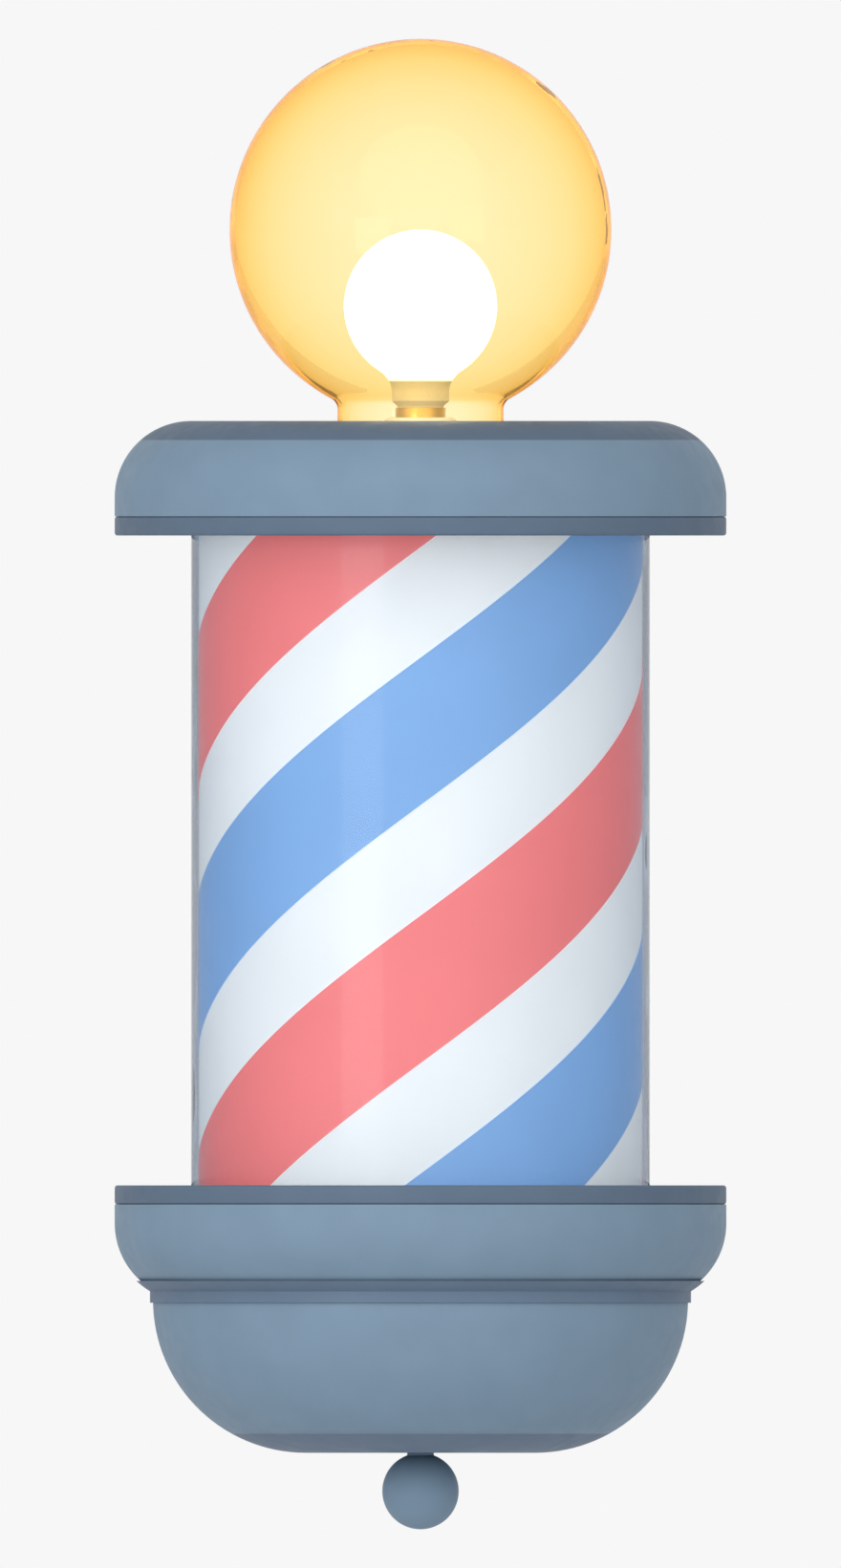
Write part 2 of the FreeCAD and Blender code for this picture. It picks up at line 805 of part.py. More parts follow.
def make_covers():
    stud_hole = stud_radius + loose_gap
    dished_cover("bowl_bottom_cover", bowl_radius - bowl_corner, bowl_corner, stud_hole,
                 bowl_level, UPRIGHT)
    crown = dished_cover("crown_plate", cap_radius - cap_corner, cap_corner, fitter_radius + cover_gap,
                         crown_level, UPSIDE_DOWN)
    document.recompute()
    for angle in CROWN_POST_ANGLES:
        x, y = around(crown_post_circle, 180 - angle)
        sink = crown.newObject("PartDesign::SubtractiveCone", "countersink")
        bind(sink, Radius1=crown_head_radius + running_gap, Radius2=crown_screw_radius + running_gap,
             Height=shell_wall)
        put(sink, x, y, 0)


def make_bowl_trim():
    """A thin bead that follows the lower cap's corner and covers its joint with the bowl."""
    flat = cap_radius - cap_corner
    hug = cap_corner + running_gap
    outer = cap_corner + trim_depth
    bowl_side = bowl_radius + running_gap
    turned("bowl_trim_ring", [
        (bowl_side, 0),
        (bowl_side + trim_depth, 0),
        (bowl_side + trim_depth, cap_corner + trim_depth - beside(outer, bowl_side + trim_depth - flat)),
        (arc_reach(flat, outer, cap_corner - band), band + trim_depth, outer, 1),
        (arc_reach(flat, hug, cap_corner - band), band + trim_depth),
        (bowl_side, cap_corner + trim_depth - beside(hug, bowl_side - flat), hug, -1),
    ], z=lower_cap_level - trim_depth)


def make_tube_ring(label, level, turn):
    """A turned ring with a ledge that seats one end of the clear tube."""
    seat = tube_radius + loose_gap
    body = turned(label, [
        (tube_radius - ledge_reach, 0),
        (cap_radius - edge_round, 0),
        (cap_radius, edge_round, edge_round, 1),
        (cap_radius, band - edge_round),
        (cap_radius - edge_round, band, edge_round, 1),
        (seat, band),
        (seat, ledge_height),
        (tube_radius - ledge_reach, ledge_height),
    ], z=level, turn=turn)
    return body


def make_tube_parts():
    lower = make_tube_ring("lower_tube_ring", lower_ring_level, UPRIGHT)
    hole = sketch_on(lower, "XY_Plane")
    circle(hole, 0, conduit_circle, conduit_radius + slip_gap)
    pocket(lower, hole, both=True)
    make_tube_ring("upper_tube_ring", top_plate_level, UPSIDE_DOWN)
    seat = lower_ring_level + ledge_height
    gaskets = new_body("tube_gaskets", several=True)
    drawing = sketch_on(gaskets, "XZ_Plane")
    inside = tube_radius - tube_wall
    rectangle(drawing, inside, seat, tube_radius, seat + gasket_height)
    rectangle(drawing, inside, -(seat + gasket_height), tube_radius, -seat)
    revolve(gaskets, drawing)
    put(gaskets, 0, pole_y)
    height = -(seat + gasket_height) * 2
    turned("clear_tube", [
        (inside, 0),
        (tube_radius, 0),
        (tube_radius, height),
        (inside, height),
    ], z=seat + gasket_height)


def make_finial():
    turned("ball_finial", [
        (0, -ball_radius),
        (ball_seat, beside(ball_radius, ball_seat), ball_radius, 1),
        (ball_seat, ball_radius),
        (stud_radius + running_gap, ball_radius),
        (stud_radius + running_gap, ball_radius - ball_thread),
        (0, ball_radius - ball_thread),
    ], z=ball_level)
    shoulder = spindle_level - ball_level
    foot = ball_radius - ball_thread + slip_gap
    turned("finial_stud", [
        (0, foot),
        (stud_radius, foot),
        (stud_radius, shoulder),
        (spindle_bore - running_gap, shoulder),
        (spindle_bore - running_gap, shoulder + stud_plug),
        (0, shoulder + stud_plug),
    ], z=ball_level)


# ---------------------------------------------------------------- drum, stripes and bearing

def make_drum_shell():
    inside = drum_radius - drum_wall
    turned("drum_shell", [
        (inside, 0),
        (drum_radius, 0),
        (drum_radius, drum_height),
        (inside, drum_height),
    ], z=drum_level)


def make_stripes(label, front_level):
    """Two equal bands wound round the drum; front_level is where one crosses the front, mid-height."""
    body = new_body(label, several=True)
    drawing = sketch_on(body, "XZ_Plane")
    inside = drum_radius + stripe_glue
    band_height = stripe_lead / STRIPE_SHARE
    start = front_level - stripe_lead * TURNS_TO_FRONT
    rectangle(drawing, inside, start - band_height / 2, inside + stripe_film, start + band_height / 2)
    winding = body.newObject("PartDesign::AdditiveHelix", label + "_winding")
    winding.Profile = drawing
    winding.ReferenceAxis = (drawing, ["V_Axis"])
    winding.Mode = "pitch-height-angle"
    bind(winding, Pitch=stripe_lead, Height=stripe_lead * STRIPE_TURNS)
    winding.Angle = 0
    winding.LeftHanded = False
    winding.Reversed = False
    repeat_around(body, [winding], STRIPE_STARTS)
    trim = sketch_on(body, "XZ_Plane")
    clear = drum_wall
    top = drum_level + drum_height
    rectangle(trim, inside - clear, top, inside + clear, top + stripe_lead)
    rectangle(trim, inside - clear, drum_level - stripe_lead, inside + clear, drum_level)
    revolve(body, trim, "Groove")
    return put(body, 0, pole_y)


def make_drum_discs():
    inside = drum_radius - drum_wall - slip_gap
    bearing_seat = bearing_radius + running_gap
    pocket_depth = bearing_level + bearing_width - hub_level
    bottom = turned("drum_bottom_disc", [
        (bearing_seat, 0),
        (hub_radius, 0),
        (hub_radius, hub_drop),
        (inside, hub_drop),
        (inside, hub_drop + disc_height),
        (shoulder_radius + trim_depth, hub_drop + disc_height),
        (shoulder_radius + trim_depth, pocket_depth),
        (bearing_seat, pocket_depth),
    ], z=hub_level)
    screw_holes = sketch_on(bottom, "XY_Plane")
    for angle in GEAR_SCREW_ANGLES:
        x, y = around(gear_screw_circle, angle)
        circle(screw_holes, x, y, gear_screw_radius + running_gap)
    pocket(bottom, screw_holes, both=True)
    cut_vents(bottom)
    top = turned("drum_top_disc", [
        (bush_radius + running_gap, 0),
        (top_hub_radius, 0),
        (top_hub_radius, bush_height - disc_height),
        (inside, bush_height - disc_height),
        (inside, bush_height),
        (bush_radius + running_gap, bush_height),
    ], z=bush_level)
    cut_vents(top)
    turned("top_bush", [
        (spindle_radius + running_gap, 0),
        (bush_radius, 0),
        (bush_radius, bush_height),
        (spindle_radius + running_gap, bush_height),
    ], z=bush_level)


def cut_vents(disc):
    drawing = sketch_on(disc, "XY_Plane")
    for index in range(VENTS):
        x, y = around(vent_circle, index * 360 / VENTS)
        circle(drawing, x, y, vent_radius)
    pocket(disc, drawing, both=True)


def make_bearing():
    groove = bearing_ball + running_gap
    middle = bearing_width / 2
    inner_half = beside(groove, ball_circle - inner_ring_radius)
    turned("bearing_inner_ring", [
        (spindle_radius + press_gap, 0),
        (inner_ring_radius, 0),
        (inner_ring_radius, middle - inner_half),
        (inner_ring_radius, middle + inner_half, groove, -1),
        (inner_ring_radius, bearing_width),
        (spindle_radius + press_gap, bearing_width),
    ], z=bearing_level)
    outer_half = beside(groove, outer_ring_bore - ball_circle)
    turned("bearing_outer_ring", [
        (outer_ring_bore, 0),
        (bearing_radius, 0),
        (bearing_radius, bearing_width),
        (outer_ring_bore, bearing_width),
        (outer_ring_bore, middle + outer_half),
        (outer_ring_bore, middle - outer_half, groove, -1),
    ], z=bearing_level)
    balls = []
    for index in range(BALLS):
        x, y = around(ball_circle, index * 360 / BALLS)
        ball = bind(document.addObject("Part::Sphere", "ball"), Radius=bearing_ball)
        balls.append(put(ball, x, y + pole_y, bearing_level + middle))
    group("bearing_balls", balls)


# ---------------------------------------------------------------- gears and motor

def involute(base, radius):
    """Angle by which an involute has turned at a radius, in radians."""
    if radius <= base:
        return 0.0
    tangent = math.sqrt((radius / base) ** 2 - 1)
    return tangent - math.atan(tangent)


def gear_outline(teeth, module, play):
    """Points of a spur gear with involute flanks; play is taken off each tooth's thickness."""
    pitch = teeth * module / 2
    base = pitch * math.cos(math.radians(PRESSURE_ANGLE))
    tip = pitch + module
    root = pitch - 1.25 * module
    half_tooth = math.pi / (2 * teeth) - play / (2 * pitch) + involute(base, pitch)
    start = max(base, root)
    flank = [(root, half_tooth)]
    for step in range(FLANK_STEPS + 1):
        radius = start + (tip - start) * step / FLANK_STEPS
        flank.append((radius, half_tooth - involute(base, radius)))
    points = []
    for tooth in range(teeth):
        centre = 2 * math.pi * tooth / teeth
        for radius, angle in flank:
            points.append((radius, centre - angle))
        for radius, angle in reversed(flank):
            points.append((radius, centre + angle))
    return [FreeCAD.Vector(r * math.cos(a), r * math.sin(a), 0) for r, a in points]


def gear_solid(teeth, height, bore, hole_circle=None):
    points = gear_outline(teeth, gear_module.number, tooth_play.number)
    face = Part.Face(Part.makePolygon(points + points[:1]))
    blank = face.extrude(FreeCAD.Vector(0, 0, height))
    blank = blank.cut(Part.makeCylinder(bore, height))
    if hole_circle:
        for angle in GEAR_SCREW_ANGLES:
            x, y = around(hole_circle, angle)
            centre = FreeCAD.Vector(x.number, y.number, 0)
            blank = blank.cut(Part.makeCylinder((gear_screw_radius + running_gap).number, height, centre))
    return blank


def make_gears():
    drum_gear = named(document.addObject("Part::Feature", "drum_gear"), "drum_gear")
    bore = (hub_radius + running_gap).number
    drum_gear.Shape = gear_solid(int(gear_teeth.number), gear_height.number, bore, gear_screw_circle)
    put(drum_gear, 0, pole_y, gear_level)
    pinion = named(document.addObject("Part::Feature", "pinion_gear"), "pinion_gear")
    pinion.Shape = gear_solid(int(pinion_teeth.number), pinion_height.number, shaft_radius.number)
    half_tooth_turn = FreeCAD.Rotation(ALONG_Z, 180 / pinion_teeth.number)
    put(pinion, gear_distance, pole_y, drum_level - pinion_gap - pinion_height, half_tooth_turn)
    screws = []
    for angle in GEAR_SCREW_ANGLES:
        x, y = around(gear_screw_circle, angle)
        item = screw(gear_screw_head, shell_wall, gear_screw_radius, gear_screw_length)
        screws.append(put(item, x, y + pole_y, gear_level, UPSIDE_DOWN))
    group("gear_screws", screws)


def make_motor():
    """A geared synchronous motor in a round can, with two ears that screw up to the base plate."""
    motor_level = base_plate_level - motor_height - motor_flange
    body = new_body("motor_body")
    can = sketch_on(body, "XY_Plane")
    circle(can, 0, 0, motor_radius)
    pad(body, can, motor_height)
    ears = sketch_on(body, "XY_Plane", motor_height)
    outline(ears, [
        (motor_ear_radius, motor_ear_spread),
        (-motor_ear_radius, motor_ear_spread, motor_ear_radius + press_gap, 1),
        (-motor_ear_radius, -motor_ear_spread),
        (motor_ear_radius, -motor_ear_spread, motor_ear_radius + press_gap, 1),
    ])
    pad(body, ears, motor_flange)
    holes = sketch_on(body, "XY_Plane", motor_height + motor_flange)
    circle(holes, 0, 0, shaft_radius + running_gap)
    pocket(body, holes, shaft_depth + shell_wall)
    ear_holes = sketch_on(body, "XY_Plane", motor_height + motor_flange)
    for side in (-1, 1):
        circle(ear_holes, 0, motor_ear_spread * side, crown_screw_radius + running_gap)
    pocket(body, ear_holes, motor_flange)
    put(body, gear_distance, pole_y, motor_level)
    shaft_foot = base_plate_level - shaft_depth
    shaft = cylinder(shaft_radius, drum_level - pinion_gap * 2 - shaft_foot)
    put(named(shaft, "motor_shaft"), gear_distance, pole_y, shaft_foot)
    screws = []
    for side in (-1, 1):
        item = screw(gear_screw_head, shell_wall, crown_screw_radius, motor_flange + end_plate)
        ear_y = motor_ear_spread * side + pole_y
        screws.append(put(item, gear_distance, ear_y, base_plate_level - motor_flange, UPSIDE_DOWN))
    group("motor_screws", screws)


# ---------------------------------------------------------------- lamps inside the drum and their supply

def make_lamp_column():
    body = new_body("lamp_column")
    drawing = sketch_on(body, "XY_Plane")
    rounded_rectangle(drawing, column_side / 2, column_side / 2, shell_wall)
    circle(drawing, 0, 0, spindle_radius + slip_gap)
    pad(body, drawing, column_height)
    put(body, 0, pole_y, column_level)
    boards = new_body("led_boards", several=True)
    plate = sketch_on(boards, "YZ_Plane", column_side / 2)
    rectangle(plate, -(board_width / 2), 0, board_width / 2, board_height)
    plate_pad = pad(boards, plate, board_depth)
    chips = sketch_on(boards, "YZ_Plane", column_side / 2 + board_depth)
    for index in range(CHIPS):
        low = chip_step * (index + 0.5)
        rectangle(chips, -(chip_side / 2), low, chip_side / 2, low + chip_side)
    chip_pad = pad(boards, chips, chip_depth)
    repeat_around(boards, [plate_pad, chip_pad], LED_FACES)
    put(boards, 0, pole_y, column_level + (column_height - board_height) / 2)


def make_supply():
    driver = new_body("led_driver")
    drawing = sketch_on(driver, "XY_Plane")
    rounded_rectangle(drawing, driver_width / 2, driver_length / 2, shell_wall)
    pad(driver, drawing, driver_height)
    put(driver, -driver_place, pole_y, base_plate_level - driver_height)
    block = new_body("terminal_block")
    drawing = sketch_on(block, "XY_Plane")
    rectangle(drawing, -(block_width / 2), -(block_depth / 2), block_width / 2, block_depth / 2)
    pad(block, drawing, block_height)
    wells = sketch_on(block, "XY_Plane")
    for index in range(-2, 3):
        circle(wells, block_screw_step * index, 0, block_well_radius)
    pocket(block, wells, block_height / 2, reverse=True)
    put(block, 0, pole_y - block_place, base_plate_level - block_height)


# ---------------------------------------------------------------- globe, fitter and lamp

def make_fitter():
    """The cup that holds the globe's neck: three slots let the collar's lugs drop in and turn."""
    flange_low = fitter_drop - shell_wall * 2
    flange_top = fitter_drop - shell_wall
    body = turned("globe_fitter", [
        (fitter_ledge, 0),
        (fitter_radius, 0),
        (fitter_radius, flange_low),
        (fitter_flange, flange_low),
        (fitter_flange, flange_top),
        (fitter_radius, flange_top),
        (fitter_radius, fitter_drop),
        (fitter_bore, fitter_drop),
        (fitter_bore, shell_wall),
        (fitter_ledge, shell_wall),
    ], z=fitter_level)
    slot_low = lug_level - (slot_height - lug_height) / 2 - fitter_level
    track = sketch_on(body, "XZ_Plane")
    rectangle(track, fitter_bore - shell_wall, slot_low, slot_reach, slot_low + slot_height)
    track_cut = revolve(body, track, "Groove", SLOT_ANGLE)
    entry = sketch_on(body, "XZ_Plane", turn=TWIST_HALF)
    rectangle(entry, fitter_bore - shell_wall, slot_low, slot_reach, fitter_drop + shell_wall)
    entry_cut = revolve(body, entry, "Groove", SLOT_ANGLE - 2 * TWIST_HALF)
    repeat_around(body, [track_cut, entry_cut], LUG_COUNT)
    gasket_low = fitter_level + shell_wall
    turned("fitter_gasket", [
        (gasket_bore, 0),
        (fitter_bore - neck_clearance, 0),
        (fitter_bore - neck_clearance, gasket_height),
        (gasket_bore, gasket_height),
    ], z=gasket_low)


def make_globe():
    centre = globe_level - neck_foot
    inside = globe_radius - globe_wall
    turned("globe", [
        (neck_bore, 0),
        (neck_radius, 0),
        (neck_radius, centre - beside(globe_radius, neck_radius)),
        (0, centre + globe_radius, globe_radius, 1),
        (0, centre + inside),
        (neck_bore, centre - beside(inside, neck_bore), inside, -1),
    ], z=neck_foot)
    body = turned("globe_collar", [
        (neck_radius + running_gap, 0),
        (neck_radius + collar_wall, 0),
        (neck_radius + collar_wall, collar_height),
        (neck_radius + running_gap, collar_height),
    ], z=lug_level - lug_height)
    lug = sketch_on(body, "XZ_Plane", turn=-TWIST_HALF)
    rectangle(lug, neck_radius + collar_wall / 2, lug_height, lug_reach, lug_height * 2)
    lug_turn = revolve(body, lug, angle=LUG_ANGLE)
    repeat_around(body, [lug_turn], LUG_COUNT)


def make_lamp():
    bridge = new_body("holder_bridge")
    drawing = sketch_on(bridge, "XY_Plane")
    rounded_rectangle(drawing, bridge_length / 2, bridge_width / 2, shell_wall)
    circle(drawing, 0, 0, conduit_bore)
    pad(bridge, drawing, bridge_height)
    put(bridge, 0, pole_y, fitter_level - bridge_height)
    turned("lamp_holder", [
        (conduit_bore, 0),
        (holder_radius, 0),
        (holder_radius, holder_height - holder_floor),
        (holder_radius - holder_floor, holder_height, holder_floor, 1),
        (holder_bore, holder_height),
        (holder_bore, holder_floor),
        (conduit_bore, holder_floor),
    ], z=fitter_level)
    wall = bulb_wall
    turned("bulb_base", [
        (0, 0),
        (conduit_bore, 0),
        (bulb_base_radius, conduit_bore),
        (bulb_base_radius, bulb_base_height),
        (bulb_base_radius - wall, bulb_base_height),
        (bulb_base_radius - wall, conduit_bore + wall),
        (conduit_bore, wall * 2),
        (0, wall * 2),
    ], z=bulb_base_level)
    foot = bulb_base_level + bulb_base_height - bulb_level
    tail = bulb_base_radius - wall - slip_gap
    inside = bulb_radius - wall
    turned("bulb_glass", [
        (tail, foot - bulb_tail),
        (tail, foot + bulb_step),
        (bulb_neck, foot + bulb_shoulder),
        (bulb_neck, -beside(bulb_radius, bulb_neck)),
        (0, bulb_radius, bulb_radius, 1),
        (0, inside),
        (bulb_neck - wall, -beside(inside, bulb_neck - wall), inside, -1),
        (bulb_neck - wall, foot + bulb_shoulder + wall / 2),
        (tail - wall, foot + bulb_step + wall / 2),
        (tail - wall, foot - bulb_tail),
    ], z=bulb_level)


# ---------------------------------------------------------------- junction box, switches, cable inlet

def make_junction_box():
    """A box on the wall plate, open at its left side, with a screw boss in each corner."""
    back = -wall_plate_depth
    front = back - box_depth
    half = box_height / 2
    body = new_body("junction_box")
    shell = sketch_on(body, "YZ_Plane")
    rectangle(shell, front, -half, back, half)
    pad(body, shell, box_width, both=True)
    hollow = sketch_on(body, "YZ_Plane", -(box_width / 2))
    low_y = front + box_wall
    high_y = back - box_wall
    inside = half - box_wall
    outline(hollow, [
        (low_y + box_boss, -inside),
        (high_y - box_boss, -inside),
        (high_y - box_boss, box_boss - inside),
        (high_y, box_boss - inside),
        (high_y, inside - box_boss),
        (high_y - box_boss, inside - box_boss),
        (high_y - box_boss, inside),
        (low_y + box_boss, inside),
        (low_y + box_boss, inside - box_boss),
        (low_y, inside - box_boss),
        (low_y, box_boss - inside),
        (low_y + box_boss, box_boss - inside),
    ])
    pocket(body, hollow, box_width - box_wall, reverse=True)
    boss_length = lid_screw_length + box_wall
    behind_bosses = sketch_on(body, "YZ_Plane", boss_length - box_width / 2)
    rectangle(behind_bosses, low_y, -inside, high_y, inside)
    pocket(body, behind_bosses, box_width - box_wall - boss_length, reverse=True)
    screw_holes = sketch_on(body, "YZ_Plane", -(box_width / 2))
    for y, z in lid_screw_places():
        circle(screw_holes, y, z, lid_screw_radius + running_gap)
    pocket(body, screw_holes, lid_screw_length, reverse=True)
    cutouts = sketch_on(body, "YZ_Plane", box_width / 2)
    for y in switch_places():
        half_width = frame_body_width / 2 + slip_gap
        half_length = frame_body_height / 2 + slip_gap
        rectangle(cutouts, y - half_width, -half_length, y + half_width, half_length)
    pocket(body, cutouts, box_cut)
    inlet = sketch_on(body, "XZ_Plane", -back)
    circle(inlet, 0, 0, cable_hole)
    pocket(body, inlet, box_cut, reverse=True)
    outlet = sketch_on(body, "XY_Plane", -half)
    circle(outlet, 0, conduit_y, conduit_radius + slip_gap)
    pocket(body, outlet, box_cut, reverse=True)
    put(body, 0, 0, -box_level)
    lid = new_body("box_lid")
    plate = sketch_on(lid, "YZ_Plane", -(box_width / 2))
    rectangle(plate, front, -half, back, half)
    for y, z in lid_screw_places():
        circle(plate, y, z, lid_screw_radius + running_gap)
    pad(lid, plate, box_wall, reverse=True)
    put(lid, 0, 0, -box_level)
    screws = []
    for y, z in lid_screw_places():
        item = screw(lid_screw_head, lid_screw_radius, lid_screw_radius, lid_screw_length)
        screws.append(put(item, -(box_width / 2) - box_wall, y, z - box_level, HEAD_TO_LEFT))
    group("lid_screws", screws)


def lid_screw_places():
    inset = box_wall + box_boss / 2
    back = -wall_plate_depth
    places = []
    for y in (back - inset, back - box_depth + inset):
        for z in (box_height / 2 - inset, inset - box_height / 2):
            places.append((y, z))
    return places


def switch_places():
    middle = -(wall_plate_depth + box_depth / 2)
    return [middle - switch_spread, middle + switch_spread]


def make_switches():
    """Two rocker switches on the box's right side; each frame is a lip with a body behind it."""
    frames = new_body("switch_frames", several=True)
    lip = sketch_on(frames, "YZ_Plane", box_width / 2)
    insert = sketch_on(frames, "YZ_Plane", box_width / 2)
    well = sketch_on(frames, "YZ_Plane", box_width / 2 + frame_lip)
    for y in switch_places():
        rectangle(lip, y - frame_width / 2, -(frame_height / 2), y + frame_width / 2, frame_height / 2)
        half_width = frame_body_width / 2
        half_length = frame_body_height / 2
        rectangle(insert, y - half_width, -half_length, y + half_width, half_length)
        well_width = rocker_width / 2 + rocker_gap
        well_length = rocker_half + rocker_end_gap
        rectangle(well, y - well_width, -well_length, y + well_width, well_length)
    pad(frames, lip, frame_lip)
    pad(frames, insert, frame_body_depth, reverse=True)
    pocket(frames, well, well_depth)
    put(frames, 0, 0, -box_level)
    pivot_x = box_width / 2 - pivot_depth
    tilted = FreeCAD.Rotation(ALONG_Y, ROCKER_TILT)
    for label, y in zip(("motor_switch_rocker", "lamp_switch_rocker"), switch_places()):
        rocker = new_body(label)
        side = sketch_on(rocker, "XZ_Plane")
        outline(side, [
            (-(shell_wall), -rocker_waist),
            (0, -(rocker_half + rocker_gap)),
            (rocker_rise, -rocker_half),
            (rocker_rise - rocker_dip, 0),
            (rocker_rise, rocker_half),
            (0, rocker_half + rocker_gap),
            (-(shell_wall), rocker_waist),
        ])
        pad(rocker, side, rocker_width, both=True)
        put(rocker, pivot_x, y, -box_level, tilted)


def make_cable_parts():
    inner_face = wall_plate_depth + box_wall
    grommet_radius = cable_hole - running_gap
    turned("cable_grommet", [
        (cable_bore, 0),
        (grommet_radius, 0),
        (grommet_radius, inner_face),
        (cable_hole + shell_wall, inner_face),
        (cable_hole + shell_wall, inner_face + edge_round),
        (cable_bore, inner_face + edge_round),
    ], y=0, z=-box_level, turn=HEAD_OUT_OF_WALL)
    foot = lower_ring_level + conduit_foot
    ring_top = window_low - foot
    box_floor = -box_level - box_height / 2 - foot
    top = box_floor + conduit_end
    turned("wire_conduit", [
        (conduit_bore, 0),
        (conduit_radius, 0),
        (conduit_radius, ring_top),
        (conduit_collar, ring_top),
        (conduit_collar, ring_top + shell_wall),
        (conduit_radius, ring_top + shell_wall),
        (conduit_radius, box_floor - shell_wall),
        (conduit_collar, box_floor - shell_wall),
        (conduit_collar, box_floor),
        (conduit_radius, box_floor),
        (conduit_radius, top),
        (conduit_bore, top),
    ], y=conduit_y, z=foot)


# ---------------------------------------------------------------- build, check and write

make_wall_plate()
make_arm("upper_arm", top_plate_level + end_plate + arm_depth, UPSIDE_DOWN)
make_arm("lower_arm", base_plate_top, UPRIGHT)
make_arm_bolts()
make_spindle()
make_spindle_nuts()
make_base_plate()
make_top_plate()
make_posts()
make_crown_screws()
make_lower_cap()
make_top_cap()
make_bowl()
make_covers()
make_bowl_trim()
make_tube_parts()
make_finial()
make_drum_shell()
make_stripes("blue_stripes", stripe_lead / 8)
make_stripes("red_stripes", -stripe_lead / 8)
make_drum_discs()
make_bearing()
make_gears()
make_motor()
make_lamp_column()
make_supply()
make_fitter()
make_globe()
make_lamp()
make_junction_box()
make_switches()
make_cable_parts()

document.recompute()

for item in document.Objects:
    faults = [state for state in item.State if state in ("Invalid", "Error")]
    if faults:
        raise RuntimeError("%s failed: %s" % (item.Label, item.getStatusString()))

for piece in pieces:
    shape = piece.Shape
    if shape.isNull() or not shape.isValid() or not shape.Solids:
        raise RuntimeError("%s has no valid shape" % piece.Label)

for piece in pieces:
    piece.Shape.exportStep("parts/%s.step" % piece.Label)
    print("%-22s %2d solid(s) %12.1f mm3" % (piece.Label, len(piece.Shape.Solids), piece.Shape.Volume))
print("%d pieces" % len(pieces))
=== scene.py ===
"""The looks of the barber pole light: turned shells, glass, the lit drum, its hardware and the studio."""

import json
import math

import bmesh
import bpy
from mathutils import Matrix, Vector

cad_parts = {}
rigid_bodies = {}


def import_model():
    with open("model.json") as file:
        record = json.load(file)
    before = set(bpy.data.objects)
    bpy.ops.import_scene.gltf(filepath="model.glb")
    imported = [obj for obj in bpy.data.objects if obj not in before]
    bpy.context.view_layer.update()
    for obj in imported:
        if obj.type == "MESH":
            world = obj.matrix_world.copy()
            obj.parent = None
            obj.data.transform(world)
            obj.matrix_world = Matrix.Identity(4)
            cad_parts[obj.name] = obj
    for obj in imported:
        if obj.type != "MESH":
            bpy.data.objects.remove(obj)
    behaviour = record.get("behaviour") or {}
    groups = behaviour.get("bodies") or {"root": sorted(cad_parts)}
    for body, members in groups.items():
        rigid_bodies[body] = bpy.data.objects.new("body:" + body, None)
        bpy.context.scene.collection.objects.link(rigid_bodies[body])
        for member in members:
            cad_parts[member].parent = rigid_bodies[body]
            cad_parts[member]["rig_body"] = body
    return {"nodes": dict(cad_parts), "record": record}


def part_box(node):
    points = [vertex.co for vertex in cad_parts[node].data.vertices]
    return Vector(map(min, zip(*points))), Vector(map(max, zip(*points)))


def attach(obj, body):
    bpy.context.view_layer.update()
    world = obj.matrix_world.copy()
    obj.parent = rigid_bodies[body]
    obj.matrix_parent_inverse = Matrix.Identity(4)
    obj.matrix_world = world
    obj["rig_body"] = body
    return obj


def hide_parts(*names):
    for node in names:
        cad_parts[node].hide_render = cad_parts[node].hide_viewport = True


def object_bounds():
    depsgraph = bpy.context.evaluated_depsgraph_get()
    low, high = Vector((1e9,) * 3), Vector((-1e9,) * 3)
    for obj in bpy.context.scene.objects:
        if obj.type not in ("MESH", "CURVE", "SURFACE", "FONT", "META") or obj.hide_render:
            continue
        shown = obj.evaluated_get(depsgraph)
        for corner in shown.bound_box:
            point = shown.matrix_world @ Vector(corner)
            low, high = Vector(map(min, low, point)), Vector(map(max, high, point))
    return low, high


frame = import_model()
cad_low, cad_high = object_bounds()

MM = 0.001

# ---------------------------------------------------------------- sizes that the frame doesn't give

WALL = 2 * MM                  # sheet of the caps, the bowl and their covers
BAND = 10 * MM                 # height of every dark band
CAP_CORNER = 40 * MM
BOWL_CORNER = 80 * MM
CAP_OPENING = 112 * MM
EDGE = 0.35 * MM               # rounding of a cut or pressed edge
LIP_HEIGHT = 6 * MM            # how far a cover's lip reaches into its shell
LIP_GAP = 0.4 * MM
CROWN_HOLE = 49.4 * MM
COVER_HOLE = 4.2 * MM
SCREW_CIRCLE = 95 * MM
SCREW_ANGLES = (30, 150, 270)
SINK_DEPTH = 2.2 * MM          # a crown screw's countersink and its two radii
SINK_LOW = 1.9 * MM
SINK_HIGH = 4.4 * MM
SINK_CUT = 2.5 * MM            # height of its cutter, which stands out of the plate
TRIM_WALL = 1.5 * MM
TRIM_GAP = 0.05 * MM
RING_EDGE = 1.5 * MM
RING_REACH = 3 * MM            # how far a ring's ledge reaches under the tube
RING_LEDGE = 2.5 * MM
RING_GAP = 0.2 * MM
CONDUIT_HOLE = 6.1 * MM
BALL_SEAT = 7 * MM
BALL_BORE = 4.05 * MM
BALL_BORE_END = 4 * MM         # above the ball's centre
TUBE_WALL = 3 * MM
TUBE_EDGE = 1 * MM
DRUM_WALL = 1.5 * MM
DRUM_EDGE = 0.4 * MM
FILM = 0.3 * MM
FILM_GAP = 0.025 * MM
STRIPE_LEAD = 540 * MM         # rise of a stripe in one turn
STRIPE_STARTS = 2
STRIPE_SHARE = 7               # a stripe is a seventh of its lead high
GLOBE_WALL = 3 * MM
GLOBE_NECK = 43.5 * MM
GLOBE_BORE = 41 * MM
GLOBE_BLEND = 6 * MM
GLOBE_EDGE = 1.1 * MM
LAMP_WALL = 1 * MM
LAMP_NECK = 15 * MM
LAMP_TAIL = 12.1 * MM
LAMP_BLEND = 14 * MM
LAMP_EDGE = 1 * MM
LAMP_TAIL_HEIGHT = 11 * MM     # where the tail starts to widen
LAMP_NECK_HEIGHT = 14 * MM     # where it has become the neck

